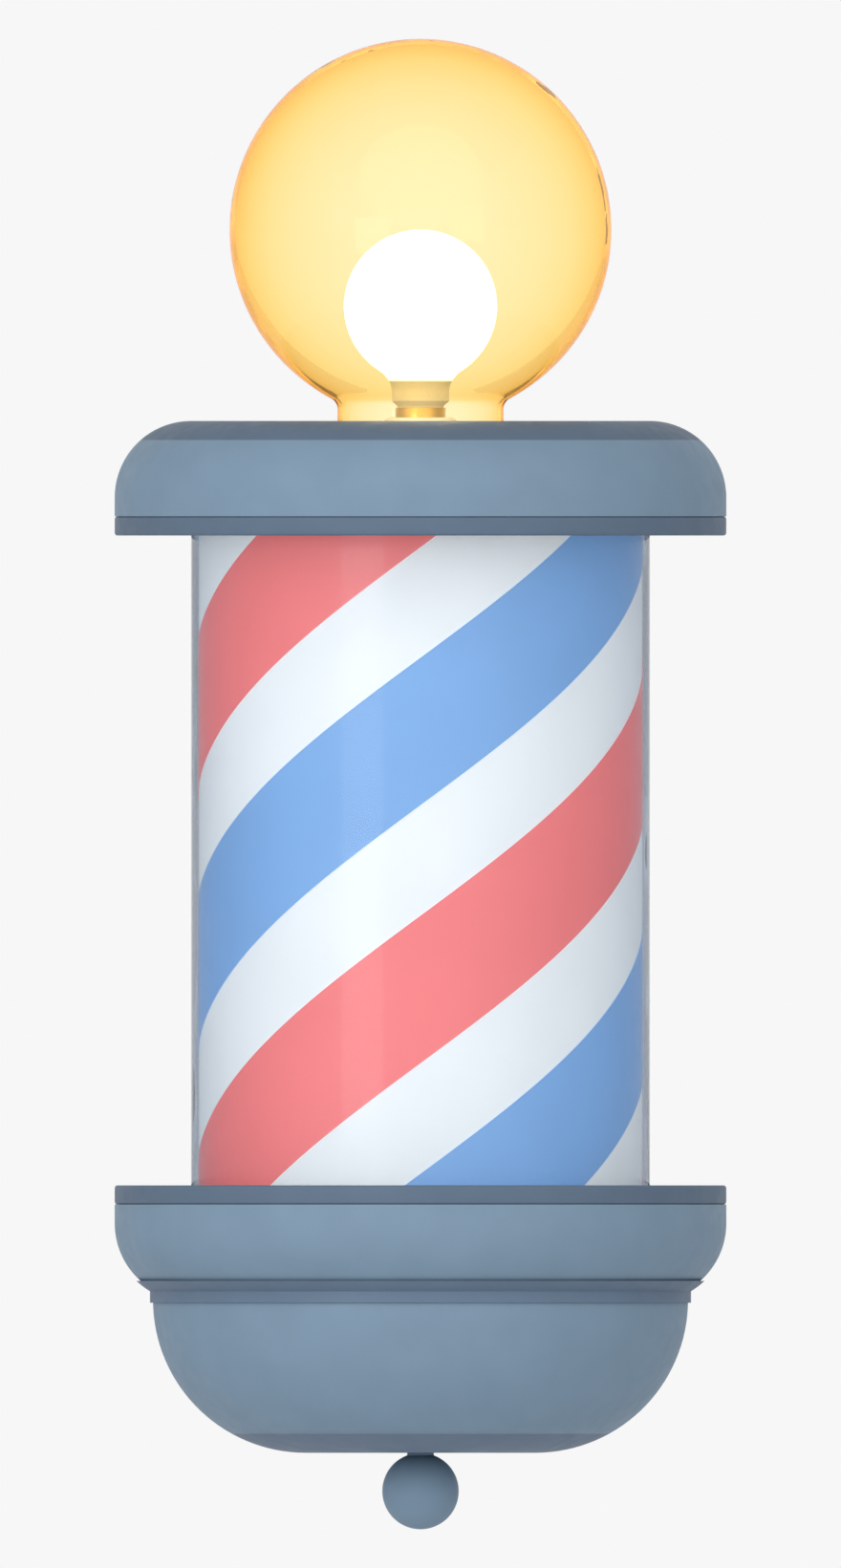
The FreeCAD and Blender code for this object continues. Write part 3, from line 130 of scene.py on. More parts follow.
# ---------------------------------------------------------------- how fine the meshes are

TURN_STEPS = 288
ARC_STEP = math.radians(3)
FINE_STEP = math.radians(2)    # for the glass balls
FILLET_STEP = ARC_STEP * 6
STRIPE_STEPS = 240             # columns of film in one turn
CUTTER_STEPS = 48
BEVEL_STEPS = 3
FLAT_ANGLE = math.radians(0.6)
SHARP_ANGLE = math.radians(32)
TINY = 1e-6


def radius_of(node):
    low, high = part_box(node)
    return (high.x - low.x) / 2


def levels_of(node):
    low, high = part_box(node)
    return low.z, high.z


def centre_of(node):
    low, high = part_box(node)
    return (low + high) / 2


AXIS = Vector((*centre_of("clear_tube").xy, 0))

slot_of = {part["node"]: part["material_slot"] for part in frame["record"]["subparts"]}


# ---------------------------------------------------------------- outlines of turned pieces

def arc(centre, radius, start, end, longest=ARC_STEP):
    """Points on a circle about (radius, height), from one angle to another, in degrees."""
    start = math.radians(start)
    end = math.radians(end)
    steps = max(2, math.ceil(abs(end - start) / longest))
    points = []
    for step in range(steps + 1):
        angle = start + (end - start) * step / steps
        points.append((centre[0] + radius * math.cos(angle), centre[1] + radius * math.sin(angle)))
    return points


def angle_at(radius, rise):
    """Angle on a circle, in degrees, of the point that lies a given rise above its centre."""
    return math.degrees(math.asin(rise / radius))


def angle_out(radius, reach):
    """Angle on a circle, in degrees, of the point that lies a given reach outside its centre."""
    return math.degrees(math.acos(reach / radius))


def rounded(corners):
    """The outline with each corner that has a third number, its fillet radius, replaced by an arc."""
    points = []
    for index, corner in enumerate(corners):
        here = Vector(corner[:2])
        if len(corner) == 2:
            points.append((here.x, here.y))
            continue
        fillet = corner[2]
        back = (Vector(corners[index - 1][:2]) - here).normalized()
        ahead = (Vector(corners[(index + 1) % len(corners)][:2]) - here).normalized()
        half = back.angle(ahead) / 2
        centre = here + (back + ahead).normalized() * (fillet / math.sin(half))
        first = here + back * (fillet / math.tan(half)) - centre
        last = here + ahead * (fillet / math.tan(half)) - centre
        turn = math.atan2(first.x * last.y - first.y * last.x, first.dot(last))
        steps = max(3, math.ceil(abs(turn) / FILLET_STEP))
        for step in range(steps + 1):
            spoke = Matrix.Rotation(turn * step / steps, 2) @ first
            points.append((centre.x + spoke.x, centre.y + spoke.y))
    return points


def flipped(outline, level):
    """The outline upside down, measured down from a level."""
    return [(point[0], level - point[1], *point[2:]) for point in outline]


def raised(outline, level):
    """The outline moved up to a level."""
    return [(point[0], level + point[1], *point[2:]) for point in outline]


def lathe(name, outline):
    """A closed solid turned about the pole's axis from an outline of (radius, height) points."""
    shape = bmesh.new()
    rings = []
    for radius, height in rounded(outline):
        if radius < TINY:
            rings.append([shape.verts.new((0, 0, height))])
            continue
        ring = []
        for step in range(TURN_STEPS):
            angle = 2 * math.pi * step / TURN_STEPS
            ring.append(shape.verts.new((radius * math.cos(angle), radius * math.sin(angle), height)))
        rings.append(ring)
    for index, ring in enumerate(rings):
        join_rings(shape, rings[index - 1], ring)
    bmesh.ops.recalc_face_normals(shape, faces=shape.faces)
    return piece_from(name, shape, AXIS)


def join_rings(shape, lower, upper):
    """Faces between two rings; a ring may be a single point on the axis, and two points need none."""
    if len(lower) == 1 and len(upper) == 1:
        return
    for step in range(TURN_STEPS):
        ahead = (step + 1) % TURN_STEPS
        if len(lower) == 1:
            shape.faces.new((lower[0], upper[ahead], upper[step]))
        elif len(upper) == 1:
            shape.faces.new((lower[step], lower[ahead], upper[0]))
        else:
            shape.faces.new((lower[step], lower[ahead], upper[ahead], upper[step]))


def fill(mesh, shape):
    """Put a bmesh's shape in a mesh, smooth except at its sharp edges."""
    shape.to_mesh(mesh)
    shape.free()
    mesh.shade_smooth()
    mesh.set_sharp_from_angle(angle=SHARP_ANGLE)


def piece_from(name, shape, place=Vector((0, 0, 0))):
    mesh = bpy.data.meshes.new(name)
    fill(mesh, shape)
    piece = bpy.data.objects.new(name, mesh)
    piece.location = place
    bpy.context.scene.collection.objects.link(piece)
    return piece


# ---------------------------------------------------------------- cutting and softening

def cut(piece, *cutters):
    """Take the cutters' volume out of a piece, and clean the faces that this leaves."""
    for cutter in cutters:
        modifier = piece.modifiers.new("cut", "BOOLEAN")
        modifier.operation = "DIFFERENCE"
        modifier.solver = "EXACT"
        modifier.object = cutter
    bpy.context.view_layer.update()
    graph = bpy.context.evaluated_depsgraph_get()
    mesh = bpy.data.meshes.new_from_object(piece.evaluated_get(graph))
    piece.modifiers.clear()
    piece.data = mesh
    shape = bmesh.new()
    shape.from_mesh(mesh)
    bmesh.ops.remove_doubles(shape, verts=shape.verts, dist=TINY)
    bmesh.ops.triangulate(shape, faces=[face for face in shape.faces if len(face.verts) > 4])
    bmesh.ops.dissolve_degenerate(shape, edges=shape.edges, dist=TINY)
    fill(mesh, shape)
    for cutter in cutters:
        bpy.data.objects.remove(cutter)


def block(low, high):
    """A box between two corners, used only as a cutter."""
    shape = bmesh.new()
    bmesh.ops.create_cube(shape, size=1)
    bmesh.ops.scale(shape, vec=high - low, verts=shape.verts)
    return piece_from("cutter", shape, (low + high) / 2)


def round_cutter(place, low_radius, high_radius, height):
    """A cylinder or cone standing on a point, used only as a cutter."""
    shape = bmesh.new()
    bmesh.ops.create_cone(shape, cap_ends=True, segments=CUTTER_STEPS, radius1=low_radius,
                          radius2=high_radius, depth=height)
    return piece_from("cutter", shape, place + Vector((0, 0, height / 2)))


def softened(node, width):
    """A copy of a CAD piece with its sharp edges rounded over."""
    shape = bmesh.new()
    shape.from_mesh(frame["nodes"][node].data)
    bmesh.ops.remove_doubles(shape, verts=shape.verts, dist=TINY)
    bmesh.ops.dissolve_limit(shape, angle_limit=FLAT_ANGLE, verts=shape.verts, edges=shape.edges)
    sharp = [edge for edge in shape.edges
             if len(edge.link_faces) == 2 and edge.calc_face_angle() > SHARP_ANGLE]
    bmesh.ops.bevel(shape, geom=sharp, offset=width, offset_type="OFFSET", segments=BEVEL_STEPS,
                    profile=0.5, affect="EDGES", clamp_overlap=True)
    return piece_from(node + "_made", shape)


# ---------------------------------------------------------------- materials

class Finish:
    """A material built round one Principled shader, with the procedural parts that vary it."""

    def __init__(self, name, colour, roughness, **sockets):
        self.material = bpy.data.materials.new(name)
        self.material.use_nodes = True
        self.nodes = self.material.node_tree.nodes
        self.links = self.material.node_tree.links
        self.shader = self.nodes["Principled BSDF"]
        self.place = self.nodes.new("ShaderNodeTexCoord").outputs["Object"]
        self.last_normal = None
        self.shader.inputs["Base Color"].default_value = (*colour, 1)
        self.shader.inputs["Roughness"].default_value = roughness
        for label, value in sockets.items():
            self.shader.inputs[label.replace("_", " ")].default_value = value

    def noise(self, size, detail=2.0, stretch=(1, 1, 1)):
        """Noise from 0 to 1 whose blotches measure about size metres."""
        mapping = self.nodes.new("ShaderNodeMapping")
        mapping.inputs["Scale"].default_value = stretch
        self.links.new(self.place, mapping.inputs["Vector"])
        texture = self.nodes.new("ShaderNodeTexNoise")
        texture.inputs["Scale"].default_value = 1 / size
        texture.inputs["Detail"].default_value = detail
        self.links.new(mapping.outputs["Vector"], texture.inputs["Vector"])
        return texture.outputs["Fac"]

    def spread(self, value, low, high, start=0.3, end=0.7):
        """The value stretched so that start gives low and end gives high."""
        node = self.nodes.new("ShaderNodeMapRange")
        for label, number in (("From Min", start), ("From Max", end), ("To Min", low), ("To Max", high)):
            node.inputs[label].default_value = number
        self.links.new(value, node.inputs["Value"])
        return node.outputs["Result"]

    def tint(self, mask, dark, light):
        """Base colour that runs from dark to light with the mask."""
        ramp = self.nodes.new("ShaderNodeMixRGB")
        ramp.inputs["Color1"].default_value = (*dark, 1)
        ramp.inputs["Color2"].default_value = (*light, 1)
        self.links.new(mask, ramp.inputs["Fac"])
        self.links.new(ramp.outputs["Color"], self.shader.inputs["Base Color"])
        return ramp.outputs["Color"]

    def mottle(self, size, detail, colour, darkest, lightest):
        """Base colour that varies in blotches between two shares of a colour."""
        mask = self.spread(self.noise(size, detail), 0, 1)
        return self.tint(mask, scaled(colour, darkest), scaled(colour, lightest))

    def rough(self, mask, low, high):
        """Roughness that runs from low to high with the mask."""
        self.links.new(self.spread(mask, low, high), self.shader.inputs["Roughness"])

    def bump(self, height, depth):
        """Surface relief of a given depth in metres; several bumps add up."""
        node = self.nodes.new("ShaderNodeBump")
        node.inputs["Strength"].default_value = 1
        node.inputs["Distance"].default_value = depth
        self.links.new(height, node.inputs["Height"])
        if self.last_normal:
            self.links.new(self.last_normal, node.inputs["Normal"])
        self.last_normal = node.outputs["Normal"]
        self.links.new(self.last_normal, self.shader.inputs["Normal"])

    def absorb(self, colour, density):
        """Light that travels through the piece takes on a colour with depth."""
        volume = self.nodes.new("ShaderNodeVolumeAbsorption")
        volume.inputs["Color"].default_value = (*colour, 1)
        volume.inputs["Density"].default_value = density
        self.links.new(volume.outputs["Volume"], self.nodes["Material Output"].inputs["Volume"])


def scaled(colour, factor):
    return tuple(min(channel * factor, 1) for channel in colour)


def paint(name, colour, roughness=0.5):
    """Satin stove enamel: faint mottling and orange peel."""
    finish = Finish(name, colour, roughness, Specular_IOR_Level=0.12)
    finish.mottle(30 * MM, 4, colour, 0.965, 1.035)
    finish.rough(finish.noise(9 * MM, 5), roughness - 0.05, roughness + 0.08)
    finish.bump(finish.noise(1.6 * MM, 1), 0.02 * MM)
    finish.bump(finish.noise(0.35 * MM, 1), 0.004 * MM)
    return finish.material


def metal(name, colour, roughness, stretch=(1, 1, 1)):
    """Metal with a drawn or turned grain: the noise is stretched along the tool marks."""
    finish = Finish(name, colour, roughness, Metallic=1.0)
    finish.mottle(14 * MM, 4, colour, 0.9, 1.05)
    grain = 0.4 * MM
    finish.rough(finish.noise(grain, 3, stretch), roughness - 0.07, roughness + 0.12)
    finish.bump(finish.noise(grain, 2, stretch), 0.008 * MM)
    return finish.material


def zinc(name, colour):
    """Zinc plating: small crystals in two tones over a dull metal."""
    finish = Finish(name, colour, 0.36, Metallic=1.0)
    cells = finish.nodes.new("ShaderNodeTexVoronoi")
    cells.inputs["Scale"].default_value = 1 / (2.2 * MM)
    finish.links.new(finish.place, cells.inputs["Vector"])
    tone = finish.spread(cells.outputs["Color"], 0, 1, 0, 1)
    finish.tint(tone, scaled(colour, 0.86), scaled(colour, 1.06))
    finish.rough(finish.noise(1.2 * MM, 3), 0.28, 0.46)
    finish.bump(finish.noise(0.5 * MM, 2), 0.006 * MM)
    return finish.material


def plastic(name, colour, roughness, grain=0.5 * MM, relief=0.02 * MM):
    """Moulded plastic with the spark-eroded texture of its tool."""
    finish = Finish(name, colour, roughness, Specular_IOR_Level=0.45)
    finish.mottle(20 * MM, 3, colour, 0.94, 1.05)
    finish.rough(finish.noise(3 * MM, 4), roughness - 0.06, roughness + 0.08)
    finish.bump(finish.noise(grain, 2), relief)
    return finish.material


def rubber(name, colour):
    """Matt rubber with a dusty bloom."""
    finish = Finish(name, colour, 0.75, Specular_IOR_Level=0.3)
    finish.mottle(4 * MM, 5, colour, 0.8, 1.6)
    finish.rough(finish.noise(1 * MM, 3), 0.65, 0.85)
    finish.bump(finish.noise(0.3 * MM, 2), 0.02 * MM)
    return finish.material


def ceramic(name, colour):
    """Glazed porcelain, a little uneven where the glaze has run."""
    finish = Finish(name, colour, 0.18, Coat_Weight=0.6, Coat_Roughness=0.06)
    finish.mottle(6 * MM, 3, colour, 0.95, 1)
    finish.rough(finish.noise(2 * MM, 3), 0.12, 0.28)
    finish.bump(finish.noise(5 * MM, 1), 0.03 * MM)
    return finish.material


def lit_skin(name, colour):
    """The drum's opal shell and its films: they scatter the lamps' light, so they glow a little."""
    finish = Finish(name, colour, 0.4, Specular_IOR_Level=0.3, Emission_Strength=0.42)
    shade = finish.mottle(60 * MM, 3, colour, 0.975, 1.02)
    finish.links.new(shade, finish.shader.inputs["Emission Color"])
    finish.rough(finish.noise(8 * MM, 4), 0.35, 0.48)
    finish.bump(finish.noise(0.8 * MM, 2), 0.006 * MM)
    return finish.material


def clear_acrylic(name):
    """Polished, smoky blue tube with faint wiping marks."""
    finish = Finish(name, (1, 1, 1), 0.02, IOR=1.05, Transmission_Weight=1.0,
                    Coat_Weight=0.15, Coat_Roughness=0.02, Coat_IOR=1.4)
    finish.rough(finish.noise(25 * MM, 5, (1, 1, 0.4)), 0.0, 0.045)
    finish.bump(finish.noise(90 * MM, 1), 0.02 * MM)
    finish.absorb((0.10, 0.22, 0.36), 75.0)
    return finish.material


def amber_glass(name):
    """Blown glass dyed right through: pale where it is looked through squarely, deep at its edge. A faint
    warm emission on the glass is a painted glow that stands in for the lamp's light inside it.
    """
    finish = Finish(name, (1, 1, 1), 0.02, IOR=1.04, Transmission_Weight=1.0,
                    Coat_Weight=0.16, Coat_Roughness=0.02, Coat_IOR=1.5, Emission_Strength=0.05)
    # painted glow: this warm emission stands in for the lamp's light caught in the globe's glass
    finish.shader.inputs["Emission Color"].default_value = (1, 0.8, 0.42, 1)
    finish.rough(finish.noise(30 * MM, 3), 0.0, 0.03)
    finish.bump(finish.noise(70 * MM, 1), 0.01 * MM)
    finish.absorb((0.99, 0.80, 0.25), 180.0)
    return finish.material


def lamp_glass(name):
    """Frosted white lamp glass, lit above its neck."""
    finish = Finish(name, (0.9, 0.88, 0.8), 0.3, Emission_Strength=2.2)
    height = finish.nodes.new("ShaderNodeSeparateXYZ")
    finish.links.new(finish.place, height.inputs["Vector"])
    ball_low = levels_of("bulb_glass")[1] - 2 * radius_of("bulb_glass")
    lit = finish.spread(height.outputs["Z"], 0, 1, ball_low + 0.5 * MM, ball_low + 2 * MM)
    finish.links.new(lit, finish.shader.inputs["Emission Color"])
    finish.rough(finish.noise(1 * MM, 3), 0.22, 0.4)
    finish.bump(finish.noise(0.6 * MM, 2), 0.006 * MM)
    return finish.material


def circuit(name, colour, track_colour):
    """Solder mask with a faint pattern of tracks under it."""
    finish = Finish(name, colour, 0.35, Coat_Weight=0.3, Coat_Roughness=0.1)
    tracks = finish.nodes.new("ShaderNodeTexBrick")
    tracks.inputs["Scale"].default_value = 1 / (12 * MM)
    finish.links.new(finish.place, tracks.inputs["Vector"])
    finish.tint(tracks.outputs["Fac"], colour, track_colour)
    finish.bump(tracks.outputs["Fac"], 0.02 * MM)
    return finish.material


SLATE = (0.160, 0.235, 0.314)
DARK_SLATE = (0.092, 0.132, 0.188)

finishes = {
    "slate_paint": paint("slate_paint", SLATE),
    "dark_slate_paint": paint("dark_slate_paint", scaled(DARK_SLATE, 1.2)),
    "dark_slate_rings": paint("dark_slate_rings", DARK_SLATE),
    "plate_paint": paint("plate_paint", DARK_SLATE, 0.55),
    "clear_acrylic": clear_acrylic("clear_acrylic"),
    "amber_glass": amber_glass("amber_glass"),
    "white_drum": lit_skin("white_drum", (0.80, 0.82, 0.82)),
    "red_film": lit_skin("red_film", (0.86, 0.205, 0.205)),
    "blue_film": lit_skin("blue_film", (0.205, 0.390, 0.690)),
    "bulb_white": lamp_glass("bulb_white"),
    "zinc_steel": zinc("zinc_steel", (0.52, 0.53, 0.55)),
    "bright_steel": metal("bright_steel", (0.62, 0.63, 0.64), 0.22, (1, 1, 12)),
    "aluminium": metal("aluminium", (0.72, 0.73, 0.74), 0.32, (1, 1, 8)),
    "brass": metal("brass", (0.70, 0.47, 0.17), 0.25, (1, 1, 10)),
    "bronze_bush": metal("bronze_bush", (0.40, 0.22, 0.09), 0.45),
    "gear_plastic": plastic("gear_plastic", (0.78, 0.76, 0.68), 0.35),
    "white_ceramic": ceramic("white_ceramic", (0.84, 0.82, 0.76)),
    "circuit_board": circuit("circuit_board", (0.86, 0.88, 0.86), (0.74, 0.78, 0.74)),
    "motor_metal": metal("motor_metal", (0.55, 0.55, 0.53), 0.34, (1, 1, 6)),
    "black_plastic": plastic("black_plastic", (0.022, 0.022, 0.024), 0.42),
    "ivory_plastic": plastic("ivory_plastic", (0.76, 0.70, 0.52), 0.35),
    "box_plastic": plastic("box_plastic", (0.085, 0.120, 0.170), 0.48, 0.8 * MM, 0.05 * MM),
    "black_rubber": rubber("black_rubber", (0.020, 0.020, 0.021)),
}


def dress(piece, slot):
    piece.data.materials.clear()
    piece.data.materials.append(finishes[slot])


def stand_in(piece, node):
    """The piece takes over a CAD node's looks: its body, its slot and its finish."""
    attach(piece, frame["nodes"][node]["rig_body"])
    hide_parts(node)
    dress(piece, slot_of[node])


# ---------------------------------------------------------------- caps, bowl, covers and rings

def corner_arc(flat, corner, radius, low, high):
    """A shell's rounded corner between two heights; the corner's centre is a corner's height up."""
    return arc((flat, corner), radius, angle_at(radius, low - corner), angle_at(radius, high - corner))


def arm_notch(arm, radius, low, high):
    """A cutter for an arm's way through the back of a cap, between two levels."""
    arm_low, arm_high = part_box(arm)
    return block(Vector((arm_low.x - WALL, AXIS.y + CAP_OPENING, low)),
                 Vector((arm_high.x + WALL, AXIS.y + radius + WALL, high)))


def make_caps():
    """Two dishes with a rounded corner, the upper one upside down, each cut away for its arm."""
    radius = radius_of("top_cap")
    flat = radius - CAP_CORNER
    inner = CAP_CORNER - WALL
    lower_low, lower_high = levels_of("lower_cap")
    height = lower_high - lower_low
    rim = [(radius, height, EDGE), (radius - WALL, height, EDGE)]
    lower = lathe("lower_cap_shell", raised(
        [(CAP_OPENING, 0)]
        + corner_arc(flat, CAP_CORNER, CAP_CORNER, 0, CAP_CORNER)
        + rim
        + corner_arc(flat, CAP_CORNER, inner, WALL, CAP_CORNER)[::-1]
        + [(CAP_OPENING, WALL)], lower_low))
    cut(lower, arm_notch("lower_arm", radius, levels_of("lower_arm")[0] - WALL, lower_high + WALL))
    stand_in(lower, "lower_cap")
    upper = lathe("top_cap_shell", flipped(
        corner_arc(flat, CAP_CORNER, CAP_CORNER, BAND, CAP_CORNER)
        + rim
        + corner_arc(flat, CAP_CORNER, inner, BAND, CAP_CORNER)[::-1], levels_of("crown_plate")[1]))
    upper_foot = levels_of("top_cap")[0] - WALL
    cut(upper, arm_notch("upper_arm", radius, upper_foot, levels_of("upper_arm")[1] + WALL))
    stand_in(upper, "top_cap")


def make_bowl():
    """A deep bowl with a flat rim; its cover closes the bottom."""
    flat = radius_of("bowl") - BOWL_CORNER
    inner = BOWL_CORNER - WALL
    bowl = lathe("bowl_shell", raised(
        corner_arc(flat, BOWL_CORNER, BOWL_CORNER, BAND, BOWL_CORNER)
        + [(CAP_OPENING, BOWL_CORNER), (CAP_OPENING, inner)]
        + corner_arc(flat, BOWL_CORNER, inner, BAND, inner)[::-1], levels_of("bowl")[1] - BOWL_CORNER))
    stand_in(bowl, "bowl")


def dished(shell_radius, corner, hole):
    """A shallow cover that carries a shell's corner on, with a lip inside the shell."""
    flat = shell_radius - corner
    inner = corner - WALL
    lip = flat + math.sqrt(inner ** 2 - (corner - BAND) ** 2) - LIP_GAP
    lip_inside = lip - WALL
    lip_foot = corner - math.sqrt(inner ** 2 - (lip_inside - flat) ** 2)
    return ([(hole, 0, EDGE)]
            + corner_arc(flat, corner, corner, 0, BAND)
            + [(lip, BAND), (lip, BAND + LIP_HEIGHT, EDGE), (lip_inside, BAND + LIP_HEIGHT, EDGE)]
            + corner_arc(flat, corner, inner, WALL, lip_foot)[::-1]
            + [(hole, WALL, EDGE)])


def make_covers():
    """The bowl's bottom cover, and the crown plate with its countersunk screw holes."""
    outline = dished(radius_of("bowl"), BOWL_CORNER, COVER_HOLE)
    stand_in(lathe("bowl_cover", raised(outline, levels_of("bowl_bottom_cover")[0])), "bowl_bottom_cover")
    high = levels_of("crown_plate")[1]
    crown = lathe("crown", flipped(dished(radius_of("top_cap"), CAP_CORNER, CROWN_HOLE), high))
    sinks = []
    for angle in SCREW_ANGLES:
        spoke = Matrix.Rotation(math.radians(angle), 3, "Z") @ Vector((SCREW_CIRCLE, 0, 0))
        foot = AXIS + spoke + Vector((0, 0, high - SINK_DEPTH))
        sinks.append(round_cutter(foot, SINK_LOW, SINK_HIGH, SINK_CUT))
    cut(crown, *sinks)
    stand_in(crown, "crown_plate")


def make_trim():
    """The band that hugs the lower cap's corner over its joint with the bowl."""
    flat = radius_of("lower_cap") - CAP_CORNER
    centre = (flat, levels_of("lower_cap")[0] + CAP_CORNER)
    hug = CAP_CORNER + TRIM_GAP
    outer = CAP_CORNER + TRIM_WALL
    side = radius_of("bowl") + TRIM_GAP
    top_rise = BAND - CAP_CORNER
    foot = levels_of("bowl_trim_ring")[0]
    outline = ([(side, foot, EDGE), (side + TRIM_WALL, foot, EDGE)]
               + arc(centre, outer, -angle_out(outer, side + TRIM_WALL - flat), angle_at(outer, top_rise))
               + arc(centre, hug, angle_at(hug, top_rise), -angle_out(hug, side - flat)))
    stand_in(lathe("bowl_trim", outline), "bowl_trim_ring")


def ring_outline():
    """A flat ring with a ledge that seats one end of the clear tube."""
    tube = radius_of("clear_tube")
    outer = radius_of("lower_tube_ring")
    return [
        (tube - RING_REACH, 0, EDGE),
        (outer, 0, RING_EDGE),
        (outer, BAND, RING_EDGE),
        (tube + RING_GAP, BAND, EDGE),
        (tube + RING_GAP, RING_LEDGE),
        (tube - RING_REACH, RING_LEDGE, EDGE),
    ]


def make_rings():
    """A ring at each end of the tube; the wires' conduit goes through the lower one."""
    low = levels_of("lower_tube_ring")[0]
    lower = lathe("lower_ring", raised(ring_outline(), low))
    foot = Vector((*centre_of("wire_conduit").xy, low - BAND))
    cut(lower, round_cutter(foot, CONDUIT_HOLE, CONDUIT_HOLE, BAND * 3))
    stand_in(lower, "lower_tube_ring")
    high = levels_of("upper_tube_ring")[1]
    stand_in(lathe("upper_ring", flipped(ring_outline(), high)), "upper_tube_ring")


def make_finial():
    """The ball nut, flat where it meets the bowl's cover, with the blind hole for its stud."""
    low, high = levels_of("ball_finial")
    radius = (high - low) / 2
    centre = (low + high) / 2
    bore_end = centre + BALL_BORE_END
    outline = arc((0, centre), radius, -90, angle_out(radius, BALL_SEAT))
    outline += [(BALL_SEAT, high, EDGE), (BALL_BORE, high), (BALL_BORE, bore_end), (0, bore_end)]
    stand_in(lathe("ball", outline), "ball_finial")


# ---------------------------------------------------------------- tube, drum and stripes

def make_pipe(name, node, wall, edge):
    """A plain tube with rounded ends, as wide and as long as a node."""
    radius = radius_of(node)
    low, high = levels_of(node)
    pipe = lathe(name, [(radius - wall, low, edge), (radius, low, edge), (radius, high, edge),
                        (radius - wall, high, edge)])
    stand_in(pipe, node)


def make_stripes(name, node, front_level):
    """Two equal bands of film wound round the drum; front_level is where one crosses the front."""
    low, high = levels_of("drum_shell")
    inside = radius_of("drum_shell") + FILM_GAP
    outside = inside + FILM
    half_band = STRIPE_LEAD / STRIPE_SHARE / 2
    shape = bmesh.new()
    for start in range(STRIPE_STARTS):
        front = front_level + start * STRIPE_LEAD / STRIPE_STARTS
        first_step = math.floor((low - half_band - front) / STRIPE_LEAD * STRIPE_STEPS) - 1
        last_step = math.ceil((high + half_band - front) / STRIPE_LEAD * STRIPE_STEPS) + 1
        columns = []
        for step in range(first_step, last_step + 1):
            middle = front + STRIPE_LEAD * step / STRIPE_STEPS
            bottom = min(max(middle - half_band, low), high)
            top = max(min(middle + half_band, high), low)
            if top - bottom < TINY:
                continue
            angle = 2 * math.pi * step / STRIPE_STEPS - math.pi / 2
            column = []
            for radius, height in ((inside, bottom), (outside, bottom), (outside, top), (inside, top)):
                column.append(shape.verts.new((radius * math.cos(angle), radius * math.sin(angle), height)))
            columns.append(column)
        for first, second in zip(columns, columns[1:]):
            for side in range(4):
                ahead = (side + 1) % 4
                shape.faces.new((first[side], first[ahead], second[ahead], second[side]))
        shape.faces.new(columns[0])
        shape.faces.new(columns[-1][::-1])
    bmesh.ops.recalc_face_normals(shape, faces=shape.faces)
    stand_in(piece_from(name, shape, AXIS), node)


# ---------------------------------------------------------------- globe and lamp

def ball_on_neck(radius, centre, neck, blend):
    """One surface of a glass ball from its neck, through a smooth blend, to its top."""
    blend_centre = (neck + blend, centre - math.sqrt((radius + blend) ** 2 - (neck + blend) ** 2))
    lean = math.degrees(math.atan2(centre - blend_centre[1], -blend_centre[0]))
    meet = math.degrees(math.atan2(blend_centre[1] - centre, blend_centre[0]))
    return (arc(blend_centre, blend, 180, lean)[:-1]
            + arc((0, centre), radius, meet, 90, FINE_STEP)[:-1]
            + [(0, centre + radius)])


def make_globe():
    radius = radius_of("globe")
    low, high = levels_of("globe")
    centre = high - radius
    outside = ball_on_neck(radius, centre, GLOBE_NECK, GLOBE_BLEND)
    inside = ball_on_neck(radius - GLOBE_WALL, centre, GLOBE_BORE, GLOBE_BLEND + GLOBE_WALL)[::-1]
    outline = [(GLOBE_NECK, low, GLOBE_EDGE)] + outside + inside + [(GLOBE_BORE, low, GLOBE_EDGE)]
    stand_in(lathe("globe_glass", outline), "globe")


def make_lamp():
    """The lamp's glass ball and neck, and the narrower tail that its base holds."""
    radius = radius_of("bulb_glass")
    low, high = levels_of("bulb_glass")
    centre = high - radius
    tail_inside = LAMP_TAIL - LAMP_WALL
    neck_inside = LAMP_NECK - LAMP_WALL
    tail_end = low + LAMP_TAIL_HEIGHT
    neck_foot = low + LAMP_NECK_HEIGHT
    outside = [(LAMP_TAIL, low), (LAMP_TAIL, tail_end, LAMP_EDGE), (LAMP_NECK, neck_foot, LAMP_EDGE)]
    outside += ball_on_neck(radius, centre, LAMP_NECK, LAMP_BLEND)
    inside = ball_on_neck(radius - LAMP_WALL, centre, neck_inside, LAMP_BLEND + LAMP_WALL)[::-1]
    inside += [
        (neck_inside, neck_foot + LAMP_WALL / 2),
        (tail_inside, tail_end + LAMP_WALL / 2),
        (tail_inside, low),
    ]
    stand_in(lathe("lamp_ball", outside + inside), "bulb_glass")


# ---------------------------------------------------------------- hardware, kept in shape with eased edges

# width of each piece's rounded edges, in millimetres
EASED = {
    "wall_plate": 0.8, "upper_arm": 0.8, "lower_arm": 0.8, "arm_bolts": 0.35,
    "junction_box": 1.2, "box_lid": 0.6, "lid_screws": 0.25, "switch_frames": 0.3,
    "motor_switch_rocker": 0.5, "lamp_switch_rocker": 0.5, "cable_grommet": 0.5, "wire_conduit": 0.3,
    "crown_screws": 0.12, "globe_fitter": 0.25, "globe_collar": 0.12, "holder_bridge": 0.25,
    "lamp_holder": 0.4, "bulb_base": 0.3,
}


def make_hardware():
    for node, width in EASED.items():
        stand_in(softened(node, width * MM), node)


def dress_frame():
    for node, piece in frame["nodes"].items():
        dress(piece, slot_of[node])


# ---------------------------------------------------------------- studio

SIDE_LIGHT = 0.55
FRONT_LIGHT = 1.35
BACK_LIGHT = 0.38
BACK_START = -0.5                     # the back's light grows between these two facings
BACK_END = -0.95
GLOW_FROM = Vector((-0.12, -1, 0.12))
FLOOR_DROP = 0.5
FLOOR_REACH = 60
FLOOR_CELLS = 8
KEY_SIZE = 1.4
KEY_PLACE = Vector((-1.8, -3.2, 0.1))
KEY_POWER = 22
CAMERA_DISTANCE = 2.6
CAMERA_REACH = 100
FRAME_MARGIN = 1641 / 1560            # rows of the view over the rows that the object fills


